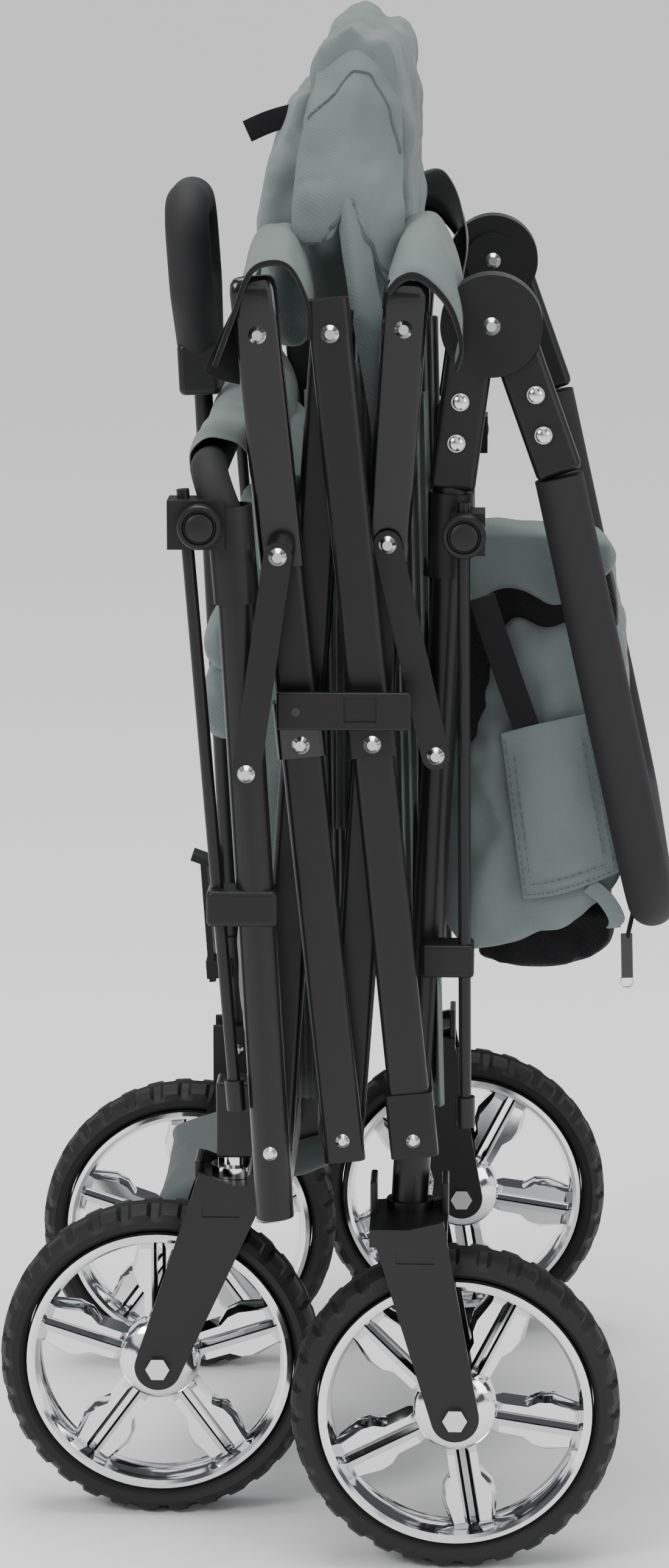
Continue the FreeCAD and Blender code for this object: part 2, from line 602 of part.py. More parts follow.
bar_seat = along(FRONT_SLEEVE_FOOT, LEAN_FRONT_TOP, 50.0)
sleeve_cuts = [cylinder("front_sleeve_bore", "front_foam_radius", 30.0, (bar_seat[0], -FRONT_Y, bar_seat[1]),
                        sleeve_axis),
               rod_bore("front_rod_bore", FRONT_ROD_FOOT, FRONT_ROD_TOP, -FRONT_Y, 700.0, 140.0),
               cylinder("front_sleeve_post", "post_radius", 44.6,
                        (front_low[0] + 400 * post_axis[0], -FRONT_Y, front_low[1] + 400 * post_axis[2]),
                        post_axis)]
front_clamp = cut("front_sleeve_cut", fuse("front_sleeve_fuse", [front_sleeve, front_knob_ear]), sleeve_cuts)
guide_z = 505.0
front_guide = block("front_guide", 50.0, 30.0, 26.0, (-67.5, -FRONT_Y, guide_z))
front_guide_cuts = [rod_bore("front_guide_bore", FRONT_ROD_FOOT, FRONT_ROD_TOP, -FRONT_Y, 475.0, 60.0),
                    cylinder("front_guide_post", "post_radius", 60.0,
                             (front_low[0] + 198 * post_axis[0], -FRONT_Y, front_low[1] + 198 * post_axis[2]),
                             post_axis)]
front_saddle_guide = cut("front_guide_cut", rounded("front_guide_soft", front_guide, 4.0, every_edge),
                         front_guide_cuts)
finish_set("front_rod_fittings", [front_clamp, front_saddle_guide])

# ---------------------------------------------------------------- clamp knobs
KNOBS = {"front": (-95.0, 777.0, -FRONT_Y - 17.0), "rear": (86.5, 763.0, -REAR_Y - 38.0)}
for tag, (x, z, y) in KNOBS.items():
    knob = fuse("knob_" + tag, [
        cylinder("knob_%s_base" % tag, "knob_radius", 7.0, (x, y, z), (0, -1, 0)),
        cylinder("knob_%s_step" % tag, "knob_radius * 0.82", 11.0, (x, y, z), (0, -1, 0)),
        cylinder("knob_%s_face" % tag, "knob_radius * 0.5", "knob_depth", (x, y, z), (0, -1, 0))])
    finish_sides("clamp_knob_" + tag, knob)

# ---------------------------------------------------------------- front top bar, a bent foam tube
turn_bar = FreeCAD.Rotation(V(0, 1, 0), -22.0).multiply(
    FreeCAD.Rotation(V(0, 0, 1), 90.0)).multiply(FreeCAD.Rotation(V(1, 0, 0), 90.0))
front_bar = bent_tube("front_bar_sweep", [(-FRONT_Y, 0.0), (-FRONT_Y, 44.0), (FRONT_Y, 44.0), (FRONT_Y, 0.0)], 28.0,
                      "front_foam_radius", (bar_seat[0], 0, bar_seat[1]), turn_bar)
front_bar_fitted = cut("front_bar_fitted", front_bar, [front_clamp, mirrored("front_clamp_far", front_clamp)])
finish("front_top_bar", front_bar_fitted)

# ---------------------------------------------------------------- front beam, caster housings, board bracket
beam = block("beam", "beam_depth", 2 * (FRONT_Y - 13.5), "beam_height", (-51.0, 0, 291.0))
beam_soft = rounded("front_beam_soft", beam, 3.0, lambda e: e.Length > 100)
housing = block("housing", 30.0, 30.0, 58.0, (-81.0, -FRONT_TRACK, 307.0))
housing_bore = cylinder("housing_bore", "stem_radius", 40.0, (SWIVEL_X, -FRONT_TRACK, 276.0))
housing_open = cut("housing_cut", rounded("housing_soft", housing, 2.5, every_edge), [housing_bore])

# ---------------------------------------------------------------- forks
def fork_arms(name, top, axle, track, side_rounding=17.5):
    """Two flat arms either side of a wheel, from top = (x, z) down to the axle."""
    lean = math.degrees(math.atan2(top[0] - axle[0], top[1] - axle[1]))
    length = math.hypot(top[0] - axle[0], top[1] - axle[1])
    turn = math.radians(lean)
    across = (math.cos(turn), -math.sin(turn))
    half_top = SIZES["fork_top_width"] / 2
    half_end = SIZES["fork_end_width"] / 2
    points = []
    for distance, half in ((0.0, -half_end), (0.0, half_end), (length, half_top), (length, -half_top)):
        centre = along(axle, lean, distance)
        points.append((centre[0] + half * across[0], centre[1] + half * across[1]))
    pieces = []
    for i, y in enumerate((-track - SIZES["fork_half_gap"] - SIZES["fork_plate"],
                           -track + SIZES["fork_half_gap"])):
        arm = plate("%s_arm%d" % (name, i), points, "fork_plate", y)
        end = cylinder("%s_eye%d" % (name, i), "fork_end_width / 2", "fork_plate", (axle[0], y, axle[1]), (0, 1, 0))
        mark = block("%s_mark%d" % (name, i), 28.0, 2.0, 8.0,
                     (along(axle, lean, length - 22)[0], y if i == 0 else y + SIZES["fork_plate"],
                      along(axle, lean, length - 22)[1]), 0.0)
        pieces.append(cut("%s_marked%d" % (name, i), fuse("%s_side%d" % (name, i), [arm, end]), [mark]))
    return pieces


def saddle(name, centre, track, z, post_y, rise=15.0):
    """Crown over the wheel with two upright wings either side of the post."""
    width = 2 * (SIZES["fork_half_gap"] + SIZES["fork_plate"])
    inboard = track - post_y
    pieces = [block(name + "_crown", 56.0, width + inboard / 2, "saddle_height", (centre, -track + inboard / 4, z))]
    for i, x in enumerate((-26.0, 26.0)):
        wing = block("%s_wing%d" % (name, i), 5.0, 34.0, 30.0, (centre + x, -post_y, z + rise))
        pieces.append(rounded("%s_wing_soft%d" % (name, i), wing, 1.6, every_edge))
    return pieces


rear_fork = fuse("rear_fork", fork_arms("rear_fork", (49.4, 262.0), REAR_AXLE, REAR_TRACK) +
                 saddle("rear_saddle", 49.4, REAR_TRACK, 255.5, REAR_Y) +
                 [cylinder("rear_weld", 17.0, 7.0, (49.6, -REAR_Y, 262.0))])
rear_axle_hole = cylinder("rear_axle_hole", "axle_radius", 80.0, (REAR_AXLE[0], -REAR_TRACK - 40, REAR_AXLE[1]),
                          (0, 1, 0))
rear_post_seat = cylinder("rear_post_seat", "post_radius", 20.0, (rear_start[0], -REAR_Y, rear_start[1]),
                          (math.sin(math.radians(LEAN_REAR)), 0, math.cos(math.radians(LEAN_REAR))))
finish_pair("rear_forks", cut("rear_fork_cut", rear_fork, [rear_axle_hole, rear_post_seat]))

caster = fuse("caster", fork_arms("caster", (SWIVEL_X, 262.0), FRONT_AXLE, FRONT_TRACK) +
              saddle("caster_saddle", SWIVEL_X, FRONT_TRACK, 255.5, FRONT_TRACK, 6.0))
caster_cuts = [cylinder("caster_axle_hole", "axle_radius", 80.0, (FRONT_AXLE[0], -FRONT_TRACK - 40, FRONT_AXLE[1]),
                        (0, 1, 0)),
               cylinder("caster_stem_hole", "stem_radius + running_gap", 40.0, (SWIVEL_X, -FRONT_TRACK, 240.0))]
finish_sides("caster_fork", cut("caster_cut", caster, caster_cuts))
stem = fuse("stem", [cylinder("stem_pin", "stem_radius", 57.0, (SWIVEL_X, -FRONT_TRACK, 249.0)),
                     cylinder("stem_ring", "ring_radius", "ring_height", (SWIVEL_X, -FRONT_TRACK, 262.3)),
                     cylinder("stem_shoulder", 12.0, 15.7, (SWIVEL_X, -FRONT_TRACK, 262.3))])

# ---------------------------------------------------------------- axle bolts
def axle(name, centre, track):
    reach = SIZES["fork_half_gap"] + SIZES["fork_plate"]
    shaft = cylinder(name + "_shaft", "axle_radius", 2 * reach, (centre[0], -track - reach, centre[1]), (0, 1, 0))
    heads = []
    for i, side in enumerate((-1, 1)):
        head = doc.addObject("Part::Prism", "%s_head%d" % (name, i))
        head.Polygon = 6
        bind(head, "Circumradius", sized("axle_bolt_radius"))
        head.Height = 5.0
        head.Placement = FreeCAD.Placement(V(centre[0], -track + side * reach, centre[1]),
                                           FreeCAD.Rotation(V(0, 0, 1), V(0, side, 0)))
        heads.append(head)
    return fuse(name, [shaft] + heads)


finish_pair("rear_axles", axle("axle_rear", REAR_AXLE, REAR_TRACK))
finish_sides("front_axle", axle("axle_front", FRONT_AXLE, FRONT_TRACK))


# ---------------------------------------------------------------- wheels
def revolved(name, outline, centre, track):
    """Ring turned about Y from (radius, offset) corners."""
    body = doc.addObject("PartDesign::Body", name)
    sketch = new_sketch(body, name + "_section", "XY_Plane")
    doc.recompute()
    count = len(outline)
    for i in range(count):
        start, end = outline[i], outline[(i + 1) % count]
        sketch.addGeometry(Part.LineSegment(V(start[0], start[1], 0), V(end[0], end[1], 0)), False)
    turn = body.newObject("PartDesign::Revolution", name + "_turn")
    turn.Profile = sketch
    turn.ReferenceAxis = (sketch, ["V_Axis"])
    turn.Angle = 360.0
    body.Placement = FreeCAD.Placement(V(centre[0], -track, centre[1]), FreeCAD.Rotation())
    doc.recompute()
    return body


def wheel(name, centre, track, first_spoke):
    rim_radius = SIZES["rim_radius"]
    tyre_radius = SIZES["tyre_radius"]
    half = SIZES["tyre_width"] / 2
    section = [(rim_radius, -half + 5), (rim_radius + 6, -half), (tyre_radius - 8, -half + 1), (tyre_radius - 2, -half + 6),
               (tyre_radius, -half + 13), (tyre_radius, half - 13), (tyre_radius - 2, half - 6),
               (tyre_radius - 8, half - 1), (rim_radius + 6, half), (rim_radius, half - 5)]
    finish_sides("tyre_" + name, revolved("tyre_%s_ring" % name, section, centre, track))
    wide = SIZES["rim_width"] / 2
    bore = SIZES["rim_bore_radius"]
    barrel = [(bore, -wide), (rim_radius, -wide + 2), (rim_radius, wide - 2), (bore, wide), (bore + 2.5, wide - 8),
              (bore + 2.5, -wide + 8)]
    pieces = [revolved("rim_%s_barrel" % name, barrel, centre, track),
              cylinder("rim_%s_hub" % name, "hub_radius", "hub_width",
                       (centre[0], -track - SIZES["hub_width"] / 2, centre[1]), (0, 1, 0))]
    for pair in range(5):
        for side in (-1, 1):
            angle = first_spoke + 72.0 * pair
            spoke = doc.addObject("Part::Box", "spoke_%s_%d_%d" % (name, pair, side + 1))
            bind(spoke, "Length", sized("rim_bore_radius - hub_radius + 6"))
            bind(spoke, "Width", sized("spoke_depth"))
            bind(spoke, "Height", sized("spoke_width"))
            turn = FreeCAD.Rotation(V(0, 1, 0), -angle)
            offset = turn.multVec(V(SIZES["hub_radius"] - 3, -SIZES["spoke_depth"] / 2,
                                    side * 9.0 - SIZES["spoke_width"] / 2))
            spoke.Placement = FreeCAD.Placement(V(centre[0], -track, centre[1]) + offset, turn)
            pieces.append(spoke)
    bore_cut = cylinder("rim_%s_axle" % name, "axle_radius + running_gap", 60.0,
                        (centre[0], -track - 30, centre[1]), (0, 1, 0))
    finish_sides("rim_" + name, cut("rim_%s_cut" % name, fuse("rim_%s_body" % name, pieces), [bore_cut]))


wheel("rear", REAR_AXLE, REAR_TRACK, -9.0)
wheel("front", FRONT_AXLE, FRONT_TRACK, 18.0)

# ---------------------------------------------------------------- push handle and its hinges
hinge_y = -REAR_Y
E_TOP = along(REAR_FOOT, LEAN_REAR, 463.0)
arm_low_lean = math.degrees(math.atan2(HINGE[0] - 6 - E_TOP[0], HINGE[1] - 16 - E_TOP[1]))
lower = fuse("hinge_lower_fuse", [
    cylinder("hinge_lower_disc", "disc_radius", "disc_depth", (HINGE[0], hinge_y - 15.5, HINGE[1]), (0, 1, 0)),
    rounded("hinge_lower_arm_soft", block("hinge_lower_arm", "arm_width", "lower_arm_depth", 98.0,
                                          along((E_TOP[0], E_TOP[1]), 7.5, 49.0)[:1] + (hinge_y - 7.7,) +
                                          along((E_TOP[0], E_TOP[1]), 7.5, 49.0)[1:], 7.5), 5.0, every_edge)])
keep_clear = cylinder("hinge_clear_low", "disc_radius + 0.6", 24.0, (HINGE[0], hinge_y - 0.5, HINGE[1]), (0, 1, 0))
hinge_bore = hole("hinge_bore_low", HINGE, hinge_y - 30, hinge_y + 30)
post_seat = cylinder("hinge_post_seat", "post_radius", 60.0,
                     (along(REAR_FOOT, LEAN_REAR, 406.0)[0], -REAR_Y, along(REAR_FOOT, LEAN_REAR, 406.0)[1]),
                     (math.sin(math.radians(LEAN_REAR)), 0, math.cos(math.radians(LEAN_REAR))))
finish_pair("hinge_lower_halves", cut("hinge_lower_cut", lower, [keep_clear, hinge_bore, post_seat]))
UPPER_END = (153.0, 803.5)
upper_lean = math.degrees(math.atan2(HINGE[0] + 14 - UPPER_END[0], HINGE[1] - 8 - UPPER_END[1]))
middle = ((HINGE[0] + 14 + UPPER_END[0]) / 2, (HINGE[1] - 8 + UPPER_END[1]) / 2)
upper = fuse("hinge_upper_fuse", [
    cylinder("hinge_upper_disc", "disc_radius", "disc_depth", (HINGE[0], hinge_y, HINGE[1]), (0, 1, 0)),
    cylinder("hinge_upper_cap", "disc_radius * 0.62", 4.0, (HINGE[0], hinge_y + 15.0, HINGE[1]), (0, 1, 0)),
    rounded("hinge_upper_arm_soft", block("hinge_upper_arm", "arm_width", "arm_depth", 106.0,
                                          (middle[0], hinge_y - 1.0, middle[1]), upper_lean), 5.0, every_edge)])
keep_low = cylinder("hinge_clear_high", "disc_radius + 0.6", 24.0, (HINGE[0], hinge_y - 24.2, HINGE[1]), (0, 1, 0))
leg_lean = -12.6
leg_axis = (math.sin(math.radians(leg_lean)), 0, math.cos(math.radians(leg_lean)))
hinge_bore_high = hole("hinge_bore_high", HINGE, hinge_y - 30, hinge_y + 30, 0.0)
hinge_upper = cut("hinge_upper_cut", upper, [keep_low, hinge_bore_high])
finish_pair("hinge_upper_halves", hinge_upper)
hinge_pin = pin("hinge_pin", HINGE, hinge_y - 15.5, hinge_y + 19.0, "rivet", 2)
low_rivets = []
for i, (x, z) in enumerate(((83.2, 853.6), (80.6, 824.5))):
    low_rivets.append(cylinder("arm_rivet%d" % i, "rivet_radius", "arm_rivet_height", (x, hinge_y - 14.9, z),
                               (0, -1, 0)))
finish_pair("hinge_arm_rivets", group("hinge_arm_rivet_group", low_rivets))
high_rivets = []
for i, (x, z) in enumerate(((136.0, 858.7), (141.6, 830.2))):
    high_rivets.append(cylinder("leg_rivet%d" % i, "rivet_radius", 2.6, (x, hinge_y - 12.0, z), (0, -1, 0)))
finish_set("handle_rivets", [hinge_pin] + high_rivets)

turn_handle = FreeCAD.Rotation(V(0, 1, 0), leg_lean).multiply(FreeCAD.Rotation(V(0, 0, 1), 90.0)).multiply(
    FreeCAD.Rotation(V(1, 0, 0), 90.0))
handle = bent_tube("handle_sweep", [(-REAR_Y, 0.0), (-REAR_Y, -328.0), (REAR_Y, -328.0), (REAR_Y, 0.0)], 62.0,
                   "foam_radius", (153.0, 0, 799.0), turn_handle)
handle_fitted = cut("handle_fitted", handle, [hinge_upper, mirrored("hinge_upper_far_tool", hinge_upper)])
finish("push_handle_foam", handle_fitted)

# ---------------------------------------------------------------- pull handle at the front
PULL_PIVOT = (-89.5, 317.0)
PULL_LEAN = -2.75
pull_axis = (math.sin(math.radians(PULL_LEAN)), 0, math.cos(math.radians(PULL_LEAN)))
pull_tube = round_tube("pull_tube", "shaft_radius", "", 520.0, along(PULL_PIVOT, PULL_LEAN, -10.0), 0.0, PULL_LEAN)
pull_outer = round_tube("pull_outer", "shaft_radius + 3", "", 100.0, along(PULL_PIVOT, PULL_LEAN, -12.0), 0.0,
                        PULL_LEAN)
pull_hole = cylinder("pull_hole", "pin_radius + running_gap", 60.0, (PULL_PIVOT[0], -30, PULL_PIVOT[1]), (0, 1, 0))
pull_body = cut("pull_cut", fuse("pull_fuse", [pull_tube, pull_outer]), [pull_hole])
yoke_centre = along(PULL_PIVOT, PULL_LEAN, 533.0)
yoke = rounded("yoke_soft", block("yoke", 32.0, 70.0, 40.0, (yoke_centre[0], 0, yoke_centre[1]), PULL_LEAN), 5.0,
               every_edge)
yoke_bore = cylinder("yoke_bore", "shaft_radius", 20.0,
                     (yoke_centre[0] - 21 * pull_axis[0], 0, yoke_centre[1] - 21 * pull_axis[2]), pull_axis)
finish("pull_shaft", group("pull_shaft_group", [pull_body, cut("yoke_cut", yoke, [yoke_bore])]))
turn_grip = FreeCAD.Rotation(V(0, 1, 0), -4.0).multiply(FreeCAD.Rotation(V(0, 0, 1), 90.0)).multiply(
    FreeCAD.Rotation(V(1, 0, 0), 90.0))
grip_base = along(PULL_PIVOT, PULL_LEAN, 548.0)
grip_loop = bent_tube("grip_sweep", [(-17.0, 0.0), (-52.0, 45.0), (-52.0, 108.0), (52.0, 108.0), (52.0, 45.0),
                                (17.0, 0.0)], 26.0, "grip_radius", (grip_base[0], 0, grip_base[1]), turn_grip)
finish("pull_grip", cut("grip_fitted", grip_loop, [yoke]))
clevis = []
for i, y in enumerate((-19.0, 13.0)):
    clevis.append(block("clevis_ear%d" % i, 42.0, 6.0, 50.0, (-87.0, y + 3.0, 311.0)))
clevis.append(block("clevis_back", 4.0, 38.0, 50.0, (-68.0, 0.0, 311.0)))
clevis_hole = cylinder("clevis_hole", "pin_radius", 60.0, (PULL_PIVOT[0], -30, PULL_PIVOT[1]), (0, 1, 0))
finish("pull_bracket", cut("clevis_cut", fuse("clevis", clevis), [clevis_hole]))
pull_bolt = pin("pull_bolt", PULL_PIVOT, -19.0, 19.0, "screw", 2)
finish("front_frame_bolts", group("front_bolt_group", [stem, mirrored("stem_far", stem), pull_bolt]))
keeper = fuse("keeper", [block("keeper_back", 5.0, 26.0, 96.0, (-112.0, 0.0, 418.0), -4.0),
                         block("keeper_lip", 16.0, 26.0, 5.0, (-117.0, 0.0, 466.0), 20.0),
                         block("keeper_foot", 20.0, 26.0, 14.0, (-103.5, 0.0, 380.0), -4.0)])
keeper_bore = cylinder("keeper_bore", "shaft_radius + 3", 520.0,
                       (PULL_PIVOT[0] - 12 * pull_axis[0], 0, PULL_PIVOT[1] - 12 * pull_axis[2]), pull_axis)
finish("pull_keeper", cut("keeper_cut", keeper, [keeper_bore]))

# ---------------------------------------------------------------- foot board between the casters
board = block("board", 146.0, 214.0, 20.0, (-79.0, 0.0, 236.0), -20.0)
board_soft = rounded("board_soft", board, 8.0, every_edge)
finish("foot_board", board_soft)
stay = block("board_stay_block", 24.0, 170.0, 34.0, (-36.0, 0.0, 281.0))
stay_cut = cut("board_stay_cut", stay, [block("board_stay_gap", 160.0, 220.0, 20.02, (-79.0, 0.0, 236.0), -20.0),
                                        block("board_stay_beam", 30.02, 180.0, 26.02, (-51.0, 0.0, 291.0))])
finish("front_beam", group("front_beam_group", [beam_soft, housing_open, mirrored("housing_far", housing_open),
                                                stay_cut]))


# ---------------------------------------------------------------- soft goods, plain closed solids
def cushion(name, points, depth, y, corner):
    """Closed soft solid: a flat outline in X and Z, thick in Y, with rounded rims."""
    body = plate(name, points, depth, y)
    return rounded(name + "_soft", body, corner, every_edge)


canopy_outline = [(-52.0, 885.0), (30.0, 885.0), (38.0, 985.0), (30.0, 1075.0), (0.0, 1105.0), (-30.0, 1095.0),
                  (-60.0, 985.0)]
canopy = cushion("canopy_body", canopy_outline, 430.0, -215.0, 9.0)
drape_outline = [(-14.0, 884.0), (26.0, 884.0), (34.0, 760.0), (0.0, 745.0), (-20.0, 765.0)]
finish("canopy_bundle", group("canopy_group", [canopy, cushion("drape_body", drape_outline, 500.0, -250.0, 6.0)]))
front_outline = [(-58.0, 380.0), (-40.0, 380.0), (-50.0, 780.0), (-70.0, 780.0)]
lobe_outline = [(-66.0, 590.0), (-102.0, 605.0), (-106.0, 660.0), (-100.0, 740.0), (-72.0, 762.0)]
front_panel = cushion("front_panel_body", front_outline, 480.0, -240.0, 4.0)
lobe = cushion("front_lobe_body", lobe_outline, 150.0, -225.0, 8.0)
lobe_cut = cut("front_lobe_cut", lobe, [front_panel])
finish("front_panel", group("front_panel_group", [front_panel, lobe_cut, mirrored("front_lobe_far", lobe_cut)]))
bag_outline = [(92.0, 750.0), (176.0, 742.0), (192.0, 700.0), (201.0, 640.0), (200.0, 520.0), (178.0, 462.0),
               (120.0, 440.0), (72.0, 434.0), (78.0, 600.0)]
bag = cushion("rear_bag_body", bag_outline, 440.0, -220.0, 10.0)
pocket_outline = [(110.0, 612.0), (176.0, 624.0), (197.0, 508.0), (132.0, 486.0)]
finish("rear_bag", group("rear_bag_group", [bag, plate("side_pocket_body", pocket_outline, 8.0, -228.0)]))
under_outline = [(120.0, 439.0), (178.0, 461.0), (199.0, 498.0), (201.0, 478.0), (188.0, 452.0), (126.0, 428.0)]
finish("bag_base_pocket", plate("bag_base_body", under_outline, 380.0, -190.0))
pull = rounded("zip_pull_soft", block("zip_pull_block", 9.0, 2.5, 34.0, (205.0, -204.0, 436.0), 0.0), 1.1,
               every_edge)
tab = block("zip_tab", 24.0, 2.4, 6.0, (198.0, -204.0, 455.0), 0.0)
finish("zip_pull", fuse("zip_pull_fuse", [pull, tab]))
side_outline = [(-30.0, 400.0), (40.0, 400.0), (40.0, 870.0), (-30.0, 870.0)]
finish_pair("side_panels", plate("side_panel_body", side_outline, 8.0, -262.0))

# ---------------------------------------------------------------- checks and export
doc.recompute()
for feature in doc.Objects:
    state = [str(word) for word in getattr(feature, "State", [])]
    if "Invalid" in state or "Error" in state:
        raise RuntimeError("feature failed: " + feature.Name + " " + str(state))
for label, feature in finished:
    shape = feature.Shape
    if shape.isNull() or not shape.isValid() or not shape.Solids:
        raise RuntimeError("bad shape: " + label)
    if label != feature.Label:
        raise RuntimeError("label taken twice: " + label)
    shape.exportStep("parts/%s.step" % label)
    box = shape.BoundBox
    print("%-22s solids %2d  x %7.1f..%7.1f  y %7.1f..%7.1f  z %7.1f..%7.1f"
          % (label, len(shape.Solids), box.XMin, box.XMax, box.YMin, box.YMax, box.ZMin, box.ZMax))
print(len(finished), "nodes")
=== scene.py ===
"""Looks of a folded wagon-style pet stroller: materials, wheels, knobs and all its sewn cloth.

Laid out as a Blender add-on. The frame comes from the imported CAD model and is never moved.
Lengths are metres. Side outlines are pairs (x, z) in millimetres from the frame's own middle line.
"""
import json
import math

import bmesh
import bpy
from bpy.props import FloatProperty, FloatVectorProperty, IntProperty
from mathutils import Matrix, Vector, noise


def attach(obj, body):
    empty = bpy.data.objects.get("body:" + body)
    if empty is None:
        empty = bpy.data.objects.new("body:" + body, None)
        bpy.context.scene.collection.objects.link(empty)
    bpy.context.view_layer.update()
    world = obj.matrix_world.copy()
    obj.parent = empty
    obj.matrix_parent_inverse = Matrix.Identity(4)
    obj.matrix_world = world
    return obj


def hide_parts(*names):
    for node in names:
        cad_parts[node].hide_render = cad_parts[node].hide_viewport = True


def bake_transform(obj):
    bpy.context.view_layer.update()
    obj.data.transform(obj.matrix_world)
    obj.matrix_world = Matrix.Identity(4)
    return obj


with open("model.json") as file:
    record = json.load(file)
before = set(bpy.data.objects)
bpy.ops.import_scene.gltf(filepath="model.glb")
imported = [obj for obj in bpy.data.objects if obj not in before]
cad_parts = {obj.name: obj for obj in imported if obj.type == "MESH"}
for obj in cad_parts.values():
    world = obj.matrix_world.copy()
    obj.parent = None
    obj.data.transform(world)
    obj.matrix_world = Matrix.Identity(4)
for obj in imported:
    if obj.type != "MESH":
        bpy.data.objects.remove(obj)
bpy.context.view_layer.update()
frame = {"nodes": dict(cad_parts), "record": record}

bl_info = {
    "name": "Pet stroller looks",
    "version": (1, 0, 0),
    "blender": (4, 5, 0),
    "location": "View3D > Sidebar > Stroller",
    "description": "Builds the cloth, wheels, knobs and materials of a folded pet stroller",
    "category": "Object",
}

MM = 0.001
SHIFT = 8.5                       # the outlines' origin lies this far behind the box centre, in mm
NEAR, FAR = -1.0, 1.0
SIDES = (("near", NEAR), ("far", FAR))
REAR_AXLE, FRONT_AXLE = (83.5, 120.0), (-139.5, 120.0)
REAR_TRACK, FRONT_TRACK = 277.4, 169.6
CLOTH_THICKNESS = 1.3 * MM
SEAM_WIDTH, SEAM_THICKNESS = 2.2 * MM, 1.2 * MM
SIM_FRAMES = 20
SIM_SHRINK = -0.04                # below nothing the cloth grows, which gives it its wrinkles
VOXEL = 6 * MM                    # size of the faces that padded pieces are rebuilt from
TYRE_HALF_WIDTH, TYRE_INNER_RADIUS = 0.0225, 0.1012
NOTCH_DEPTH = 0.0032
NOTCH_STEPS, NOTCH_CUT = 8, 3     # points round the tyre to each notch, and how many of them are cut
BLADE_PAIRS = 5
KNOB_DEPTH = 0.014
FAN_Y, FAN_PLEAT = 256.0, 4.0     # the side walls' distance from the middle and half their pleats' depth, mm
FAN_THICKNESS = 0.0009
SURFACES = {}                     # the grid of points of each cloth, for the seams sewn on it
LOOKS = {}                        # this script's own materials, by slot or cloth name


# ------------------------------------------------------------------ geometry helpers
def at(x, y, z):
    """A point from millimetres in the outlines' frame to metres in the model's frame."""
    return Vector(((x + SHIFT) * MM, y * MM, z * MM))


def mirrored(sign, rows):
    """Rows of outline points with their distance from the middle taken to one side."""
    return [[at(x, sign * y, z) for x, y, z in row] for row in rows]


def spline(points, count, closed=False):
    """Catmull-Rom points through the given ones, evenly counted."""
    pts = [Vector(p) for p in points]
    n = len(pts)
    spans = n if closed else n - 1

    def pick(i):
        if closed:
            return pts[i % n]
        return pts[min(max(i, 0), n - 1)]

    out = []
    steps = count if closed else count - 1
    for k in range(count):
        t = k * spans / steps
        i = min(int(t), spans - 1)
        u = t - i
        a, b, c, d = pick(i - 1), pick(i), pick(i + 1), pick(i + 2)
        out.append(0.5 * ((2 * b) + (c - a) * u + (2 * a - 5 * b + 4 * c - d) * u * u
                          + (3 * b - a - 3 * c + d) * u ** 3))
    return out


def smooth_shade(mesh, angle=40.0):
    for polygon in mesh.polygons:
        polygon.use_smooth = True
    mesh.set_sharp_from_angle(angle=math.radians(angle))


def add_piece(name, bm, material, body, replaces=(), angle=40.0):
    """Makes an object of the mesh, gives it its material, and ties it to a body of the frame."""
    mesh = bpy.data.meshes.new(name)
    bm.to_mesh(mesh)
    bm.free()
    smooth_shade(mesh, angle)
    obj = bpy.data.objects.new(name, mesh)
    bpy.context.scene.collection.objects.link(obj)
    mesh.materials.append(LOOKS[material])
    if body:
        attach(obj, body)
    if replaces:
        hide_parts(*replaces)
    return obj


def outward(bm):
    bmesh.ops.remove_doubles(bm, verts=bm.verts, dist=1e-6)
    bmesh.ops.recalc_face_normals(bm, faces=bm.faces)


def bridge(bm, rings):
    """Faces between closed rings of vertices, and a cap on each end."""
    count = len(rings[0])
    for one, two in zip(rings, rings[1:]):
        for i in range(count):
            bm.faces.new((one[i], one[(i + 1) % count], two[(i + 1) % count], two[i]))
    bm.faces.new(rings[0][::-1])
    bm.faces.new(rings[-1])


def lathe(bm, profile, centre, axis_sign, steps=64):
    """Revolves (radius, along) pairs about the Y axis through centre; along points out to axis_sign."""
    rings = []
    for k in range(steps):
        a = 2 * math.pi * k / steps
        rings.append([bm.verts.new(centre + Vector((r * math.cos(a), axis_sign * h, r * math.sin(a))))
                      for r, h in profile])
    for k in range(steps):
        one, two = rings[k], rings[(k + 1) % steps]
        for i in range(len(profile) - 1):
            bm.faces.new((one[i], one[i + 1], two[i + 1], two[i]))
    outward(bm)


def grid_sheet(bm, rows, across, along, wave=0.0, wave_scale=12.0, seed=0.0):
    """A cloth grid through rows of control points, with its UVs laid out in metres of cloth."""
    curves = [spline(row, along) for row in rows]
    columns = [spline([c[j] for c in curves], across) for j in range(along)]
    if wave:
        for j in range(along):
            for i in range(across):
                p = columns[j][i]
                left = columns[max(j - 1, 0)][i] - columns[min(j + 1, along - 1)][i]
                up = columns[j][max(i - 1, 0)] - columns[j][min(i + 1, across - 1)]
                normal = left.cross(up)
                if normal.length > 1e-12:
                    normal.normalize()
                    q = p * wave_scale + Vector((seed, seed * 2.0, -seed))
                    columns[j][i] = p + normal * wave * (noise.noise(q) + 0.5 * noise.noise(q * 2.3))
    uv = bm.loops.layers.uv.verify()
    verts = [[bm.verts.new(p) for p in column] for column in columns]
    u = [0.0]
    for j in range(1, along):
        u.append(u[-1] + (columns[j][across // 2] - columns[j - 1][across // 2]).length)
    v = [0.0]
    for i in range(1, across):
        v.append(v[-1] + (columns[along // 2][i] - columns[along // 2][i - 1]).length)
    for j in range(along - 1):
        for i in range(across - 1):
            quad = [(j, i), (j + 1, i), (j + 1, i + 1), (j, i + 1)]
            face = bm.faces.new([verts[a][b] for a, b in quad])
            for loop, (a, b) in zip(face.loops, quad):
                loop[uv].uv = (u[a], v[b])
    return columns


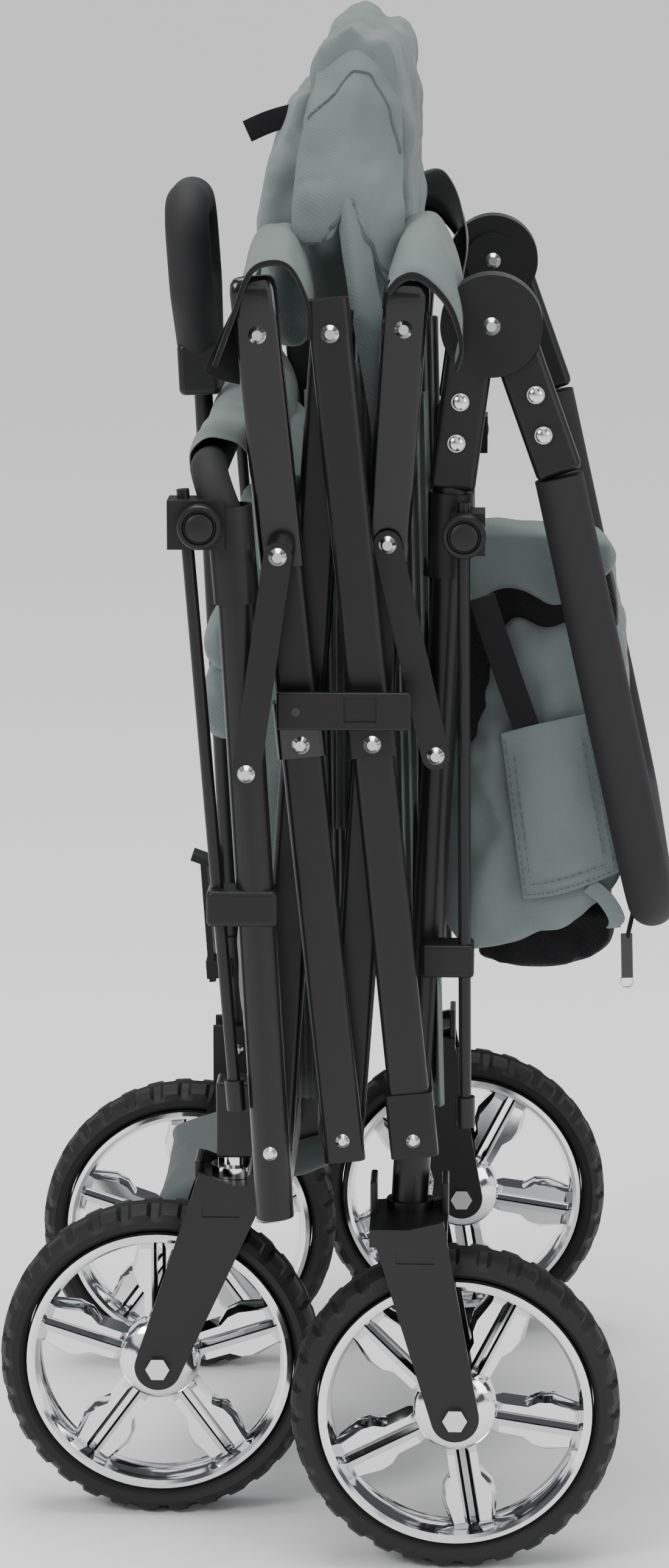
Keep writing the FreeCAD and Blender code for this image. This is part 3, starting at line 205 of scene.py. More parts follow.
def subdivide(obj):
    sub = obj.modifiers.new("Smooth", "SUBSURF")
    sub.levels = 1
    sub.render_levels = 1


def thicken(obj, thickness):
    solid = obj.modifiers.new("Thickness", "SOLIDIFY")
    solid.thickness = thickness
    solid.offset = 0.0


def cloth_area(obj):
    return sum(p.area for p in obj.data.polygons)


def cloth(name, rows, across, along, material, body, width=None,
          replaces=(), wave=0.0, wave_scale=12.0, seed=0.0):
    """A sewn sheet of cloth, thickened and smoothed. Its width argument is not used."""
    bm = bmesh.new()
    SURFACES[name] = grid_sheet(bm, rows, across, along, wave, wave_scale, seed)
    obj = add_piece(name, bm, material, body, replaces, 180.0)
    thicken(obj, CLOTH_THICKNESS)
    subdivide(obj)
    area = cloth_area(obj)
    width = width or math.sqrt(area)
    return obj


def seam(name, sheet, spots, body, lift):
    """A raised seam along (across, along) shares of a sheet's own grid."""
    grid = SURFACES[sheet]
    path = []
    for point in spline([(u, t, 0.0) for u, t in spots], 36):
        column = grid[round(min(max(point.y, 0.0), 1.0) * (len(grid) - 1))]
        path.append(column[round(min(max(point.x, 0.0), 1.0) * (len(column) - 1))] + lift)
    bm = bmesh.new()
    last = len(path) - 1
    smooth = [(path[max(i - 1, 0)] + path[i] * 2 + path[min(i + 1, last)]) / 4 for i in range(len(path))]
    strip(bm, smooth, Vector((0.7, 0.0, 0.7)), SEAM_WIDTH, SEAM_THICKNESS)
    return add_piece(name, bm, "thread_and_painted_shade", body)


def strip(bm, path, width_dirs, width, thick):
    """A closed flat tape along a path; width_dirs gives the direction of its width at each point."""
    rings = []
    for k, p in enumerate(path):
        ahead = path[min(k + 1, len(path) - 1)] - path[max(k - 1, 0)]
        side = width_dirs[k] if isinstance(width_dirs, list) else width_dirs
        side = (side - ahead * (side.dot(ahead) / max(ahead.length_squared, 1e-12))).normalized()
        up = ahead.cross(side).normalized()
        ring = []
        for a, b in ((-1, -0.6), (-0.8, -1), (0.8, -1), (1, -0.6), (1, 0.6), (0.8, 1), (-0.8, 1), (-1, 0.6)):
            ring.append(bm.verts.new(p + side * (a * width / 2) + up * (b * thick / 2)))
        rings.append(ring)
    bridge(bm, rings)
    outward(bm)


def tape(name, points, width_dir, width, thick, body, material="binding_black"):
    bm = bmesh.new()
    strip(bm, spline(points, 40), width_dir, width, thick)
    return add_piece(name, bm, material, body)


def loft(bm, sections, count=40):
    """A closed solid through closed outlines, each a list of points, capped at both ends."""
    rings = [[bm.verts.new(p) for p in spline(s, count, closed=True)] for s in sections]
    bridge(bm, rings)
    outward(bm)


def sections_along_y(outline, half_width, taper, stations=9, sag=0.0, slump=0.0):
    """The outline repeated across the stroller's width, drawn in at its ends, sagging between them."""
    cx = sum(p[0] for p in outline) / len(outline)
    cz = sum(p[1] for p in outline) / len(outline)
    out = []
    for k in range(stations):
        t = 2.0 * k / (stations - 1) - 1.0
        ease = 1.0 - taper * abs(t) ** 4
        drop = sag * (1 - t * t) * (1 if k % 2 else 0.55)
        s = min(max((t + 0.85) / 1.5, 0.0), 1.0)
        fall = slump * s * s * (3 - 2 * s)
        out.append([at(cx + (x - cx) * ease, t * half_width, cz + (z - cz) * ease - drop * (z > cz) - fall)
                    for x, z in outline])
    return out


def puff(name, sections, material, body, replaces=(), pressure=4.0,
         reach=0.007, wrinkle=0.0015, seed=1.0):
    """A padded or bundled piece: a closed shell, blown up as cloth so that it wrinkles at its seams."""
    bm = bmesh.new()
    loft(bm, sections)
    obj = add_piece(name, bm, material, body, replaces, 180.0)
    bpy.context.view_layer.objects.active = obj
    remesh = obj.modifiers.new("Remesh", "REMESH")
    remesh.mode = "VOXEL"
    remesh.voxel_size = VOXEL
    bake(obj)
    start = [v.co.copy() for v in obj.data.vertices]
    soft = obj.modifiers.new("Cloth", "CLOTH")
    soft.settings.use_pressure = True
    soft.settings.uniform_pressure_force = pressure
    soft.settings.shrink_min = SIM_SHRINK
    soft.settings.tension_stiffness = 18.0
    soft.settings.bending_stiffness = 0.25
    soft.settings.effector_weights.gravity = 0.0
    soft.point_cache.frame_start = 1
    soft.point_cache.frame_end = SIM_FRAMES
    for f in range(1, SIM_FRAMES + 1):
        bpy.context.scene.frame_set(f)
    bake(obj)
    bpy.context.scene.frame_set(1)
    for v, origin in zip(obj.data.vertices, start):
        step = v.co - origin
        if step.length > reach:
            step *= reach / step.length
        q = origin * 21.0 + Vector((seed, 0, seed))
        bump = noise.noise(Vector((q.x * 2.4, q.y * 0.55, q.z * 1.5))) + 0.4 * noise.noise(q * 3.1)
        v.co = origin + step + v.normal * wrinkle * bump
    smooth_shade(obj.data, 180.0)
    subdivide(obj)
    return obj


def bake(obj):
    """Applies the object's modifiers and drops them."""
    graph = bpy.context.evaluated_depsgraph_get()
    mesh = bpy.data.meshes.new_from_object(obj.evaluated_get(graph))
    obj.modifiers.clear()
    old = obj.data
    obj.data = mesh
    bpy.data.meshes.remove(old)


# ------------------------------------------------------------------ shader helpers
def new_group(name, inputs, outputs):
    group = bpy.data.node_groups.new(name, "ShaderNodeTree")
    for label, kind, value in inputs:
        socket = group.interface.new_socket(label, in_out="INPUT", socket_type=kind)
        if value is not None:
            socket.default_value = value
    for label, kind in outputs:
        group.interface.new_socket(label, in_out="OUTPUT", socket_type=kind)
    return group, group.nodes.new("NodeGroupInput"), group.nodes.new("NodeGroupOutput")


def math_node(tree, operation, a, b=None):
    node = tree.nodes.new("ShaderNodeMath")
    node.operation = operation
    for socket, value in zip(node.inputs, (a, b)):
        if value is None:
            continue
        if isinstance(value, (int, float)):
            socket.default_value = value
        else:
            tree.links.new(value, socket)
    return node.outputs[0]


def noise_node(tree, vector, scale, detail=3.0):
    node = tree.nodes.new("ShaderNodeTexNoise")
    node.inputs["Detail"].default_value = detail
    tree.links.new(vector, node.inputs["Vector"])
    if isinstance(scale, (int, float)):
        node.inputs["Scale"].default_value = scale
    else:
        tree.links.new(scale, node.inputs["Scale"])
    return node.outputs["Fac"]


def make_grain_group():
    """Fine speckle of powder coat, moulded plastic or foam: a height and a roughness value."""
    group, start, end = new_group("Grain", [("Vector", "NodeSocketVector", None),
                                            ("Scale", "NodeSocketFloat", 900.0),
                                            ("Roughness", "NodeSocketFloat", 0.4),
                                            ("Roughness Change", "NodeSocketFloat", 0.1)],
                                  [("Height", "NodeSocketFloat"), ("Roughness", "NodeSocketFloat")])
    links = group.links
    fine = noise_node(group, start.outputs["Vector"], start.outputs["Scale"], 2.0)
    broad = noise_node(group, start.outputs["Vector"], 9.0, 4.0)
    change = math_node(group, "MULTIPLY", math_node(group, "SUBTRACT", broad, 0.5),
                       start.outputs["Roughness Change"])
    links.new(fine, end.inputs["Height"])
    links.new(math_node(group, "ADD", start.outputs["Roughness"], change), end.inputs["Roughness"])
    return group


def make_weave_group():
    """Twill weave and slow fading of a sewn cloth: colour factor and height."""
    group, start, end = new_group("Weave", [("Vector", "NodeSocketVector", None),
                                            ("Threads per Metre", "NodeSocketFloat", 700.0),
                                            ("Fade", "NodeSocketFloat", 0.3)],
                                  [("Tone", "NodeSocketFloat"), ("Height", "NodeSocketFloat")])
    split = group.nodes.new("ShaderNodeSeparateXYZ")
    group.links.new(start.outputs["Vector"], split.inputs[0])
    across = math_node(group, "MULTIPLY", split.outputs[0], start.outputs["Threads per Metre"])
    along = math_node(group, "MULTIPLY", split.outputs[2], start.outputs["Threads per Metre"])
    depth = math_node(group, "MULTIPLY", split.outputs[1], start.outputs["Threads per Metre"])
    turn = 2.0 * math.pi
    rib = math_node(group, "SINE", math_node(group, "MULTIPLY", math_node(
        group, "ADD", math_node(group, "ADD", across, along), depth), turn * 0.5))
    slant = math_node(group, "SUBTRACT", across, along)
    warp = math_node(group, "SINE", math_node(group, "MULTIPLY", slant, turn))
    height = math_node(group, "ADD", math_node(group, "MULTIPLY", rib, 0.6),
                       math_node(group, "MULTIPLY", warp, 0.4))
    fade = noise_node(group, start.outputs["Vector"], 14.0, 4.0)
    speck = noise_node(group, start.outputs["Vector"], 1400.0, 1.0)
    tone = math_node(group, "MULTIPLY", math_node(group, "SUBTRACT", fade, 0.5), start.outputs["Fade"])
    tone = math_node(group, "ADD", tone, math_node(group, "MULTIPLY", height, 0.035))
    change = math_node(group, "MULTIPLY", math_node(group, "SUBTRACT", speck, 0.5), 0.3)
    tone = math_node(group, "ADD", tone, change)
    group.links.new(math_node(group, "ADD", tone, 0.5), end.inputs["Tone"])
    group.links.new(height, end.inputs["Height"])
    return group


def make_dust_group():
    """Light dust that settles on faces that look up: a factor."""
    group, start, end = new_group("Dust", [("Vector", "NodeSocketVector", None),
                                           ("Amount", "NodeSocketFloat", 0.2)],
                                  [("Factor", "NodeSocketFloat")])
    geometry = group.nodes.new("ShaderNodeNewGeometry")
    split = group.nodes.new("ShaderNodeSeparateXYZ")
    group.links.new(geometry.outputs["Normal"], split.inputs[0])
    up = math_node(group, "MAXIMUM", split.outputs[2], 0.0)
    patches = noise_node(group, start.outputs["Vector"], 35.0, 5.0)
    factor = math_node(group, "MULTIPLY", math_node(group, "MULTIPLY", up, patches), start.outputs["Amount"])
    group.links.new(factor, end.inputs["Factor"])
    return group


def base_material(name, metallic=0.0, roughness=0.5, coat=0.0, specular=0.5):
    material = bpy.data.materials.new("look_" + name)
    LOOKS[name] = material
    material.use_nodes = True
    tree = material.node_tree
    shader = tree.nodes["Principled BSDF"]
    shader.inputs["Metallic"].default_value = metallic
    shader.inputs["Roughness"].default_value = roughness
    shader.inputs["Coat Weight"].default_value = coat
    shader.inputs["Specular IOR Level"].default_value = specular
    coordinates = tree.nodes.new("ShaderNodeTexCoord")
    return material, tree, shader, coordinates.outputs["Object"]


def place_group(tree, group, vector, **values):
    node = tree.nodes.new("ShaderNodeGroup")
    node.node_tree = group
    tree.links.new(vector, node.inputs["Vector"])
    for label, value in values.items():
        node.inputs[label.replace("_", " ")].default_value = value
    return node


def mix_colour(tree, factor, one, two):
    node = tree.nodes.new("ShaderNodeMix")
    node.data_type = "RGBA"
    tree.links.new(factor, node.inputs["Factor"])
    for socket, value in ((node.inputs["A"], one), (node.inputs["B"], two)):
        if isinstance(value, tuple):
            socket.default_value = (*value, 1.0)
        else:
            tree.links.new(value, socket)
    return node.outputs["Result"]


def bump(tree, shader, height, strength, distance):
    node = tree.nodes.new("ShaderNodeBump")
    node.inputs["Strength"].default_value = strength
    node.inputs["Distance"].default_value = distance
    tree.links.new(height, node.inputs["Height"])
    tree.links.new(node.outputs["Normal"], shader.inputs["Normal"])


def hard_material(name, colour, roughness, change, grain, metallic=0.0, strength=0.15, dust=0.12, coat=0.0,
                  specular=0.5):
    """Painted, moulded or plated surface: grain, uneven gloss and a little dust."""
    material, tree, shader, vector = base_material(name, metallic, roughness, coat, specular)
    grained = place_group(tree, bpy.data.node_groups["Grain"], vector, Scale=grain, Roughness=roughness,
                          Roughness_Change=change)
    tree.links.new(grained.outputs["Roughness"], shader.inputs["Roughness"])
    bump(tree, shader, grained.outputs["Height"], strength, 0.0002)
    dusted = place_group(tree, bpy.data.node_groups["Dust"], vector, Amount=dust)
    pale = tuple(min(1.0, c * 1.4 + 0.03) for c in colour)
    tone = mix_colour(tree, dusted.outputs["Factor"], tuple(colour), pale)
    tree.links.new(tone, shader.inputs["Base Color"])
    return material


def cloth_material(name, colour, threads, fade, strength=0.3):
    """Woven cloth with a twill rib and faded patches."""
    material, tree, shader, vector = base_material(name, 0.0, 0.92, 0.0, 0.25)
    woven = place_group(tree, bpy.data.node_groups["Weave"], vector, Threads_per_Metre=threads, Fade=fade)
    dark = tuple(c * 0.55 for c in colour)
    light = tuple(min(1.0, c * 1.4) for c in colour)
    tone = mix_colour(tree, woven.outputs["Tone"], dark, light)
    dusted = place_group(tree, bpy.data.node_groups["Dust"], vector, Amount=0.1)
    pale = tuple(min(1.0, c + 0.05) for c in colour)
    tree.links.new(mix_colour(tree, dusted.outputs["Factor"], tone, pale), shader.inputs["Base Color"])
    shader.inputs["Sheen Weight"].default_value = 0.08
    bump(tree, shader, woven.outputs["Height"], strength, 0.0003)
    return material


# ------------------------------------------------------------------ settings
def colour_setting(name, description, default):
    return FloatVectorProperty(name=name, description=description, size=3, subtype="COLOR", min=0.0, max=1.0,
                               default=default)


class StrollerColours(bpy.types.PropertyGroup):
    fabric: colour_setting("Fabric", "Grey cloth of the cabin and bag", (0.140, 0.172, 0.162))
    binding: colour_setting("Binding", "Black tape and straps", (0.008, 0.008, 0.009))
    frame_paint: colour_setting("Frame paint", "Powder coat of the tubes", (0.007, 0.007, 0.0075))
    plastic: colour_setting("Plastic", "Moulded fittings", (0.008, 0.008, 0.0085))
    foam: colour_setting("Foam", "Handle foam", (0.016, 0.016, 0.017))
    tyre: colour_setting("Tyre", "Tyre rubber", (0.010, 0.010, 0.0105))
    plating: colour_setting("Plating", "Bright wheel plating", (0.80, 0.80, 0.81))


class StrollerSizes(bpy.types.PropertyGroup):
    tyre_radius: FloatProperty(name="Tyre radius", description="Outside radius of each tyre",
                               subtype="DISTANCE", unit="LENGTH", default=0.120, min=0.1, max=0.14)
    tread_notches: IntProperty(name="Tread notches", description="Number of notches on each tyre shoulder",
                               default=32, min=12, max=90)
    knob_radius: FloatProperty(name="Knob radius", description="Radius of each clamp knob",
                               subtype="DISTANCE", unit="LENGTH", default=0.0155, min=0.01, max=0.02)
    binding_width: FloatProperty(name="Binding width", description="Width of the tape on cloth edges",
                                 subtype="DISTANCE", unit="LENGTH", default=0.011, min=0.005, max=0.02)


# ------------------------------------------------------------------ operators
class STROLLER_OT_materials(bpy.types.Operator):
    """Build the materials and put them on the frame's own parts"""
    bl_idname = "stroller.materials"
    bl_label = "Materials"

    def execute(self, context):
        colours = context.scene.stroller_colours
        make_grain_group()
        make_weave_group()
        make_dust_group()
        hard_material("frame_black", colours.frame_paint, 0.33, 0.16, 1500.0, strength=0.12, specular=0.35)
        hard_material("black_plastic", colours.plastic, 0.42, 0.12, 1100.0, strength=0.2, specular=0.3)
        hard_material("gloss_black", colours.plastic, 0.17, 0.08, 600.0, strength=0.05, coat=0.3,
                      specular=0.45)
        hard_material("foam", colours.foam, 0.7, 0.1, 1800.0, strength=0.6, dust=0.15, specular=0.3)
        hard_material("tyre", colours.tyre, 0.55, 0.15, 700.0, strength=0.35, dust=0.12, specular=0.3)
        hard_material("chrome", colours.plating, 0.09, 0.06, 300.0, metallic=1.0, strength=0.02, dust=0.05)
        hard_material("nickel", (0.66, 0.66, 0.66), 0.2, 0.12, 500.0, metallic=1.0, strength=0.05, dust=0.05)
        cloth_material("fabric_grey", tuple(colours.fabric), 620.0, 0.5)
        cloth_material("mesh_black", tuple(colours.binding), 420.0, 0.3, 0.8)
        cloth_material("binding_black", tuple(colours.binding), 900.0, 0.3, 0.4)
        # fabric darkened to 60 %: the seams' own thread colour, and painted shade on the foot board cover
        cloth_material("thread_and_painted_shade", tuple(c * 0.6 for c in colours.fabric), 2000.0, 0.2, 0.1)
        for row in frame["record"]["subparts"]:
            node = frame["nodes"][row["node"]]
            node.data.materials.clear()
            node.data.materials.append(LOOKS[row["material_slot"]])
        return {"FINISHED"}


class STROLLER_OT_wheels(bpy.types.Operator):
    """Build the four tyres with their notched tread, and the plated wheels inside them"""
    bl_idname = "stroller.wheels"
    bl_label = "Wheels"

    def execute(self, context):
        sizes = context.scene.stroller_sizes
        for label, axle, track, first in (("front", FRONT_AXLE, FRONT_TRACK, 18.0),
                                          ("rear", REAR_AXLE, REAR_TRACK, -9.0)):
            for side, sign in SIDES:
                centre = at(axle[0], sign * track, axle[1])
                self.tyre(sizes, label, side, centre)
                self.rim(label, side, centre, first)
        return {"FINISHED"}

    def rim(self, label, side, centre, first):
        """Plated wheel: a stepped ring, a stepped hub and five pairs of bevelled blades."""
        bm = bmesh.new()
        ring = [(0.0925, -0.0150), (0.0935, -0.0188), (0.0962, -0.0200), (0.0995, -0.0196), (0.1006, -0.0170),
                (0.1006, 0.0170), (0.0995, 0.0196), (0.0962, 0.0200), (0.0935, 0.0188), (0.0925, 0.0150),
                (0.0905, 0.0110), (0.0905, -0.0110), (0.0925, -0.0150)]
        hub = [(0.00505, -0.0220), (0.0165, -0.0220), (0.0195, -0.0200), (0.0240, -0.0190), (0.0290, -0.0150),
               (0.0305, -0.0110), (0.0305, 0.0110), (0.0290, 0.0150), (0.0240, 0.0190), (0.0195, 0.0200),
               (0.0165, 0.0220), (0.00505, 0.0220), (0.00505, -0.0220)]
        for profile in (ring, hub):
            lathe(bm, profile, centre, 1.0, 96)
        outline = [(0.0275, 0.0022), (0.0275, 0.0105), (0.0500, 0.0112), (0.0590, 0.0185), (0.0700, 0.0205),
                   (0.0925, 0.0150), (0.0925, 0.0022)]
        for k in range(BLADE_PAIRS):
            turn = Matrix.Rotation(-math.radians(first + 360.0 / BLADE_PAIRS * k), 3, "Y")
            for flip in (1.0, -1.0):
                self.blade(bm, centre, turn, [(u, v * flip) for u, v in outline])
        bmesh.ops.recalc_face_normals(bm, faces=bm.faces)
        node = "rim_%s_%s" % (label, side)
        add_piece(node + "_plated", bm, "chrome", "%s_wheel_%s" % (label, side), (node,), 28.0)

    def blade(self, bm, centre, turn, outline):
        cu = sum(p[0] for p in outline) / len(outline)
        cv = sum(p[1] for p in outline) / len(outline)
        rings = []
        for half, inset in ((-0.0125, 0.62), (-0.0060, 1.0), (0.0060, 1.0), (0.0125, 0.62)):
            ring = []
            for u, v in outline:
                uu = cu + (u - cu) * (0.5 + 0.5 * inset)
                vv = cv + (v - cv) * inset
                ring.append(bm.verts.new(centre + turn @ Vector((uu, half, vv))))
            rings.append(ring)
        bridge(bm, rings)

    def tyre(self, sizes, label, side, centre):
        radius = sizes.tyre_radius
        inner = TYRE_INNER_RADIUS
        profile = [(inner, -0.015), (inner + 0.004, -0.0205), (radius - 0.010, -TYRE_HALF_WIDTH),
                   (radius - 0.0045, -0.0205), (radius - 0.0012, -0.0150), (radius, -0.0085),
                   (radius, -0.0045), (radius - 0.0016, -0.0036), (radius - 0.0016, -0.0012),
                   (radius, -0.0004)]
        profile = profile + [(r, -h) for r, h in reversed(profile)]
        steps = sizes.tread_notches * NOTCH_STEPS
        bm = bmesh.new()
        rings = []
        for k in range(steps):
            a = 2 * math.pi * k / steps
            ring = []
            for r, h in profile:
                cut = ((k + (NOTCH_CUT if h > 0 else 0)) % NOTCH_STEPS) < NOTCH_CUT
                shoulder = 0.007 < abs(h) < 0.0215 and r > radius - 0.009
                rr = r - (NOTCH_DEPTH if shoulder and cut else 0.0)
                ring.append(bm.verts.new(centre + Vector((rr * math.cos(a), h, rr * math.sin(a)))))
            rings.append(ring)
        count = len(profile)
        for k in range(steps):
            one, two = rings[k], rings[(k + 1) % steps]
            for i in range(count):
                bm.faces.new((one[i], one[(i + 1) % count], two[(i + 1) % count], two[i]))
        outward(bm)
        add_piece("tyre_%s_%s_tread" % (label, side), bm, "tyre", "%s_wheel_%s" % (label, side),
                  ("tyre_%s_%s" % (label, side),), 30.0)


class STROLLER_OT_knobs(bpy.types.Operator):
    """Build the four clamp knobs with their stepped faces"""
    bl_idname = "stroller.knobs"
    bl_label = "Clamp knobs"

    def execute(self, context):
        radius = context.scene.stroller_sizes.knob_radius
        depth = KNOB_DEPTH
        profile = [(0.0, 0.0), (radius * 0.9, 0.0), (radius, 0.0012), (radius, depth - 0.0030),
                   (radius - 0.0010, depth - 0.0015), (radius - 0.0034, depth - 0.0012),
                   (radius - 0.0042, depth - 0.0036), (radius - 0.0052, depth - 0.0036),
                   (radius - 0.0060, depth - 0.0008), (radius - 0.0075, depth), (0.0, depth)]
        for end, x, z, face in (("front", -95.0, 777.0, 345.0), ("rear", 86.5, 763.0, 289.0)):
            for side, sign in SIDES:
                node = "clamp_knob_%s_%s" % (end, side)
                bm = bmesh.new()
                lathe(bm, profile, at(x, sign * face, z), sign, 48)
                add_piece(node + "_turned", bm, "black_plastic", node, (node,), 30.0)
        return {"FINISHED"}


class STROLLER_OT_small_fittings(bpy.types.Operator):
    """Build the domed arm rivets, the struts' top pockets and the zip puller"""
    bl_idname = "stroller.small_fittings"
    bl_label = "Small fittings"

    def execute(self, context):
        dome = [(0.0, 0.0030), (0.0018, 0.0029), (0.0035, 0.0024), (0.0050, 0.0015), (0.0060, 0.0005),
                (0.0063, 0.0), (0.0, 0.0)]
        for name, body, face, spots in (("arm", "rear_frame", 266.6, ((83.2, 853.6), (80.6, 824.5))),
                                        ("leg", "push_handle", 264.6, ((136.0, 858.7), (141.6, 830.2)))):
            for side, sign in SIDES:
                bm = bmesh.new()
                for x, z in spots:
                    lathe(bm, dome, at(x, sign * face, z), sign, 32)
                add_piece("rivet_domes_%s_%s" % (name, side), bm, "nickel", body, (), 60.0)
        for side, sign in SIDES:
            self.pocket("front", side, "front_outer_struts", (-57.0, 904.9), -5.86, sign * 302.0, 40.0)
            self.pocket("rear", side, "rear_inner_struts", (43.7, 906.4), 4.10, sign * 277.0, 34.0)
        bm = bmesh.new()
        plate = [at(202.5, -204, 457), at(209.5, -204, 457), at(210.5, -204, 424), at(203.5, -204, 424)]
        strip(bm, spline([(plate[0] + plate[1]) / 2, (plate[2] + plate[3]) / 2], 6), Vector((1, 0, 0)),
              0.0085, 0.0026)
        add_piece("zip_puller", bm, "gloss_black", "rear_frame", ("zip_pull",))
        bm = bmesh.new()
        centre = at(206.8, -204, 421)
        ring = [centre + Vector((0.0045 * math.cos(a), 0, 0.0045 * math.sin(a)))
                for a in [2 * math.pi * k / 24 for k in range(25)]]
        strip(bm, ring, Vector((0, 1, 0)), 0.0016, 0.0014)
        add_piece("zip_ring", bm, "nickel", "rear_frame")
        return {"FINISHED"}

    def pocket(self, name, side, body, top, lean, y, reach):
        """Glossy pocket of the cabin's corner, slipped over the end of a strut."""
        axis = Vector((math.sin(math.radians(lean)), 0.0, math.cos(math.radians(lean))))
        across = Vector((axis.z, 0.0, -axis.x))
        base = at(top[0], y, top[1])
        bm = bmesh.new()
        sections = []
        for along, size in ((13.0, 1.0), (reach - 10, 1.0), (reach - 4, 0.94), (reach - 1, 0.8),
                            (reach, 0.6)):
            ring = []
            for k in range(24):
                a = 2 * math.pi * k / 24
                u = math.copysign(abs(math.cos(a)) ** 0.45, math.cos(a)) * 16.4 * MM * size
                v = math.copysign(abs(math.sin(a)) ** 0.45, math.sin(a)) * 9.8 * MM * size
                ring.append(base + axis * (along * MM) + across * u + Vector((0, v, 0)))
            sections.append(ring)
        loft(bm, sections, 48)
        add_piece("strut_pocket_%s_%s" % (name, side), bm, "gloss_black", body, (), 50.0)


class STROLLER_OT_canopy(bpy.types.Operator):
    """Build the folded canopy bundle with its layers, hanging end and tab strap"""
    bl_idname = "stroller.canopy"
    bl_label = "Canopy bundle"

    def execute(self, context):
        back_layer = [(-50, 890), (-26, 888), (-14, 960), (-16, 1040), (-30, 1072), (-44, 1034), (-60, 985),
                      (-58, 940)]
        puff("canopy_back_fold", sections_along_y(back_layer, 196.0, 0.05, 9, 6.0), "fabric_grey",
             "front_frame", wrinkle=0.006, reach=0.004, pressure=2.0, seed=3.0,
             replaces=("canopy_bundle",))
        main_layer = [(-24, 905), (2, 896), (10, 1010), (16, 896), (42, 900), (46, 985), (43, 1040),
                      (38, 1090), (27, 1108), (17, 1092), (7, 1118), (-8, 1106), (-19, 1094), (-22, 1062),
                      (-33, 1015), (-30, 950)]
        puff("canopy_main_fold", sections_along_y(main_layer, 206.0, 0.05, 11, 9.0), "fabric_grey",
             "front_frame", wrinkle=0.007, reach=0.004, pressure=2.0, seed=5.0)
        for side, sign in SIDES:
            self.end_cloth(side, sign)
        tape("canopy_tab", [at(-20, -150, 1048), at(-38, -150, 1046), at(-56, -150, 1041),
                            at(-72, -150, 1034)], Vector((0.2, 0.0, 1.0)), 0.016, 0.0022, "front_frame")
        return {"FINISHED"}

    def end_cloth(self, side, sign):
        """The canopy's end panel folded over itself, and its lower edge hanging between the struts."""
        cloth("canopy_end_%s" % side, mirrored(sign, [
            [(-17, 186, 1096), (-22, 219, 1062), (-34, 232, 1020), (-36, 238, 985), (-35, 236, 958)],
            [(-4, 188, 1104), (-8, 226, 1066), (-14, 240, 1022), (-16, 246, 990), (-10, 244, 966)],
            [(12, 188, 1106), (6, 230, 1070), (4, 246, 1030), (4, 250, 1004), (8, 250, 990)],
            [(27, 188, 1098), (22, 222, 1066), (22, 238, 1026), (24, 246, 990), (22, 248, 948)],
            [(38, 182, 1084), (41, 212, 1050), (42, 226, 1010), (41, 238, 970), (40, 244, 930)]]),
            34, 60, "fabric_grey", "front_frame", width=0.075,
            wave=0.0055, wave_scale=21.0, seed=2.0 + sign)
        lift = Vector((0.0, sign * 0.0012, 0.0))
        seam("canopy_seam_%s" % side, "canopy_end_%s" % side,
             [(0.02, 0.34), (0.3, 0.24), (0.55, 0.18), (0.8, 0.24), (0.98, 0.42)], "front_frame", lift)
        seam("canopy_hem_%s" % side, "canopy_end_%s" % side,
             [(0.02, 0.95), (0.2, 0.96), (0.36, 0.95), (0.5, 0.95), (0.7, 0.95), (0.98, 0.96)],
             "front_frame", lift)
        cloth("canopy_drape_%s" % side, mirrored(sign, [
            [(-6, 240, 1000), (3, 254, 936), (11, 263, 890), (21, 264, 830), (27, 264, 775), (28, 264, 750)],
            [(2, 250, 1000), (11, 260, 936), (20, 265, 890), (28, 265.5, 830), (31, 265.5, 775),
             (31, 265, 750)],
            [(14, 242, 1000), (25, 256, 934), (37, 263, 890), (39, 264, 830), (37, 264, 775),
             (35, 264, 750)]]),
            14, 60, "fabric_grey", "front_frame", width=0.030,
            wave=0.0008, wave_scale=24.0, seed=7.0 + sign)


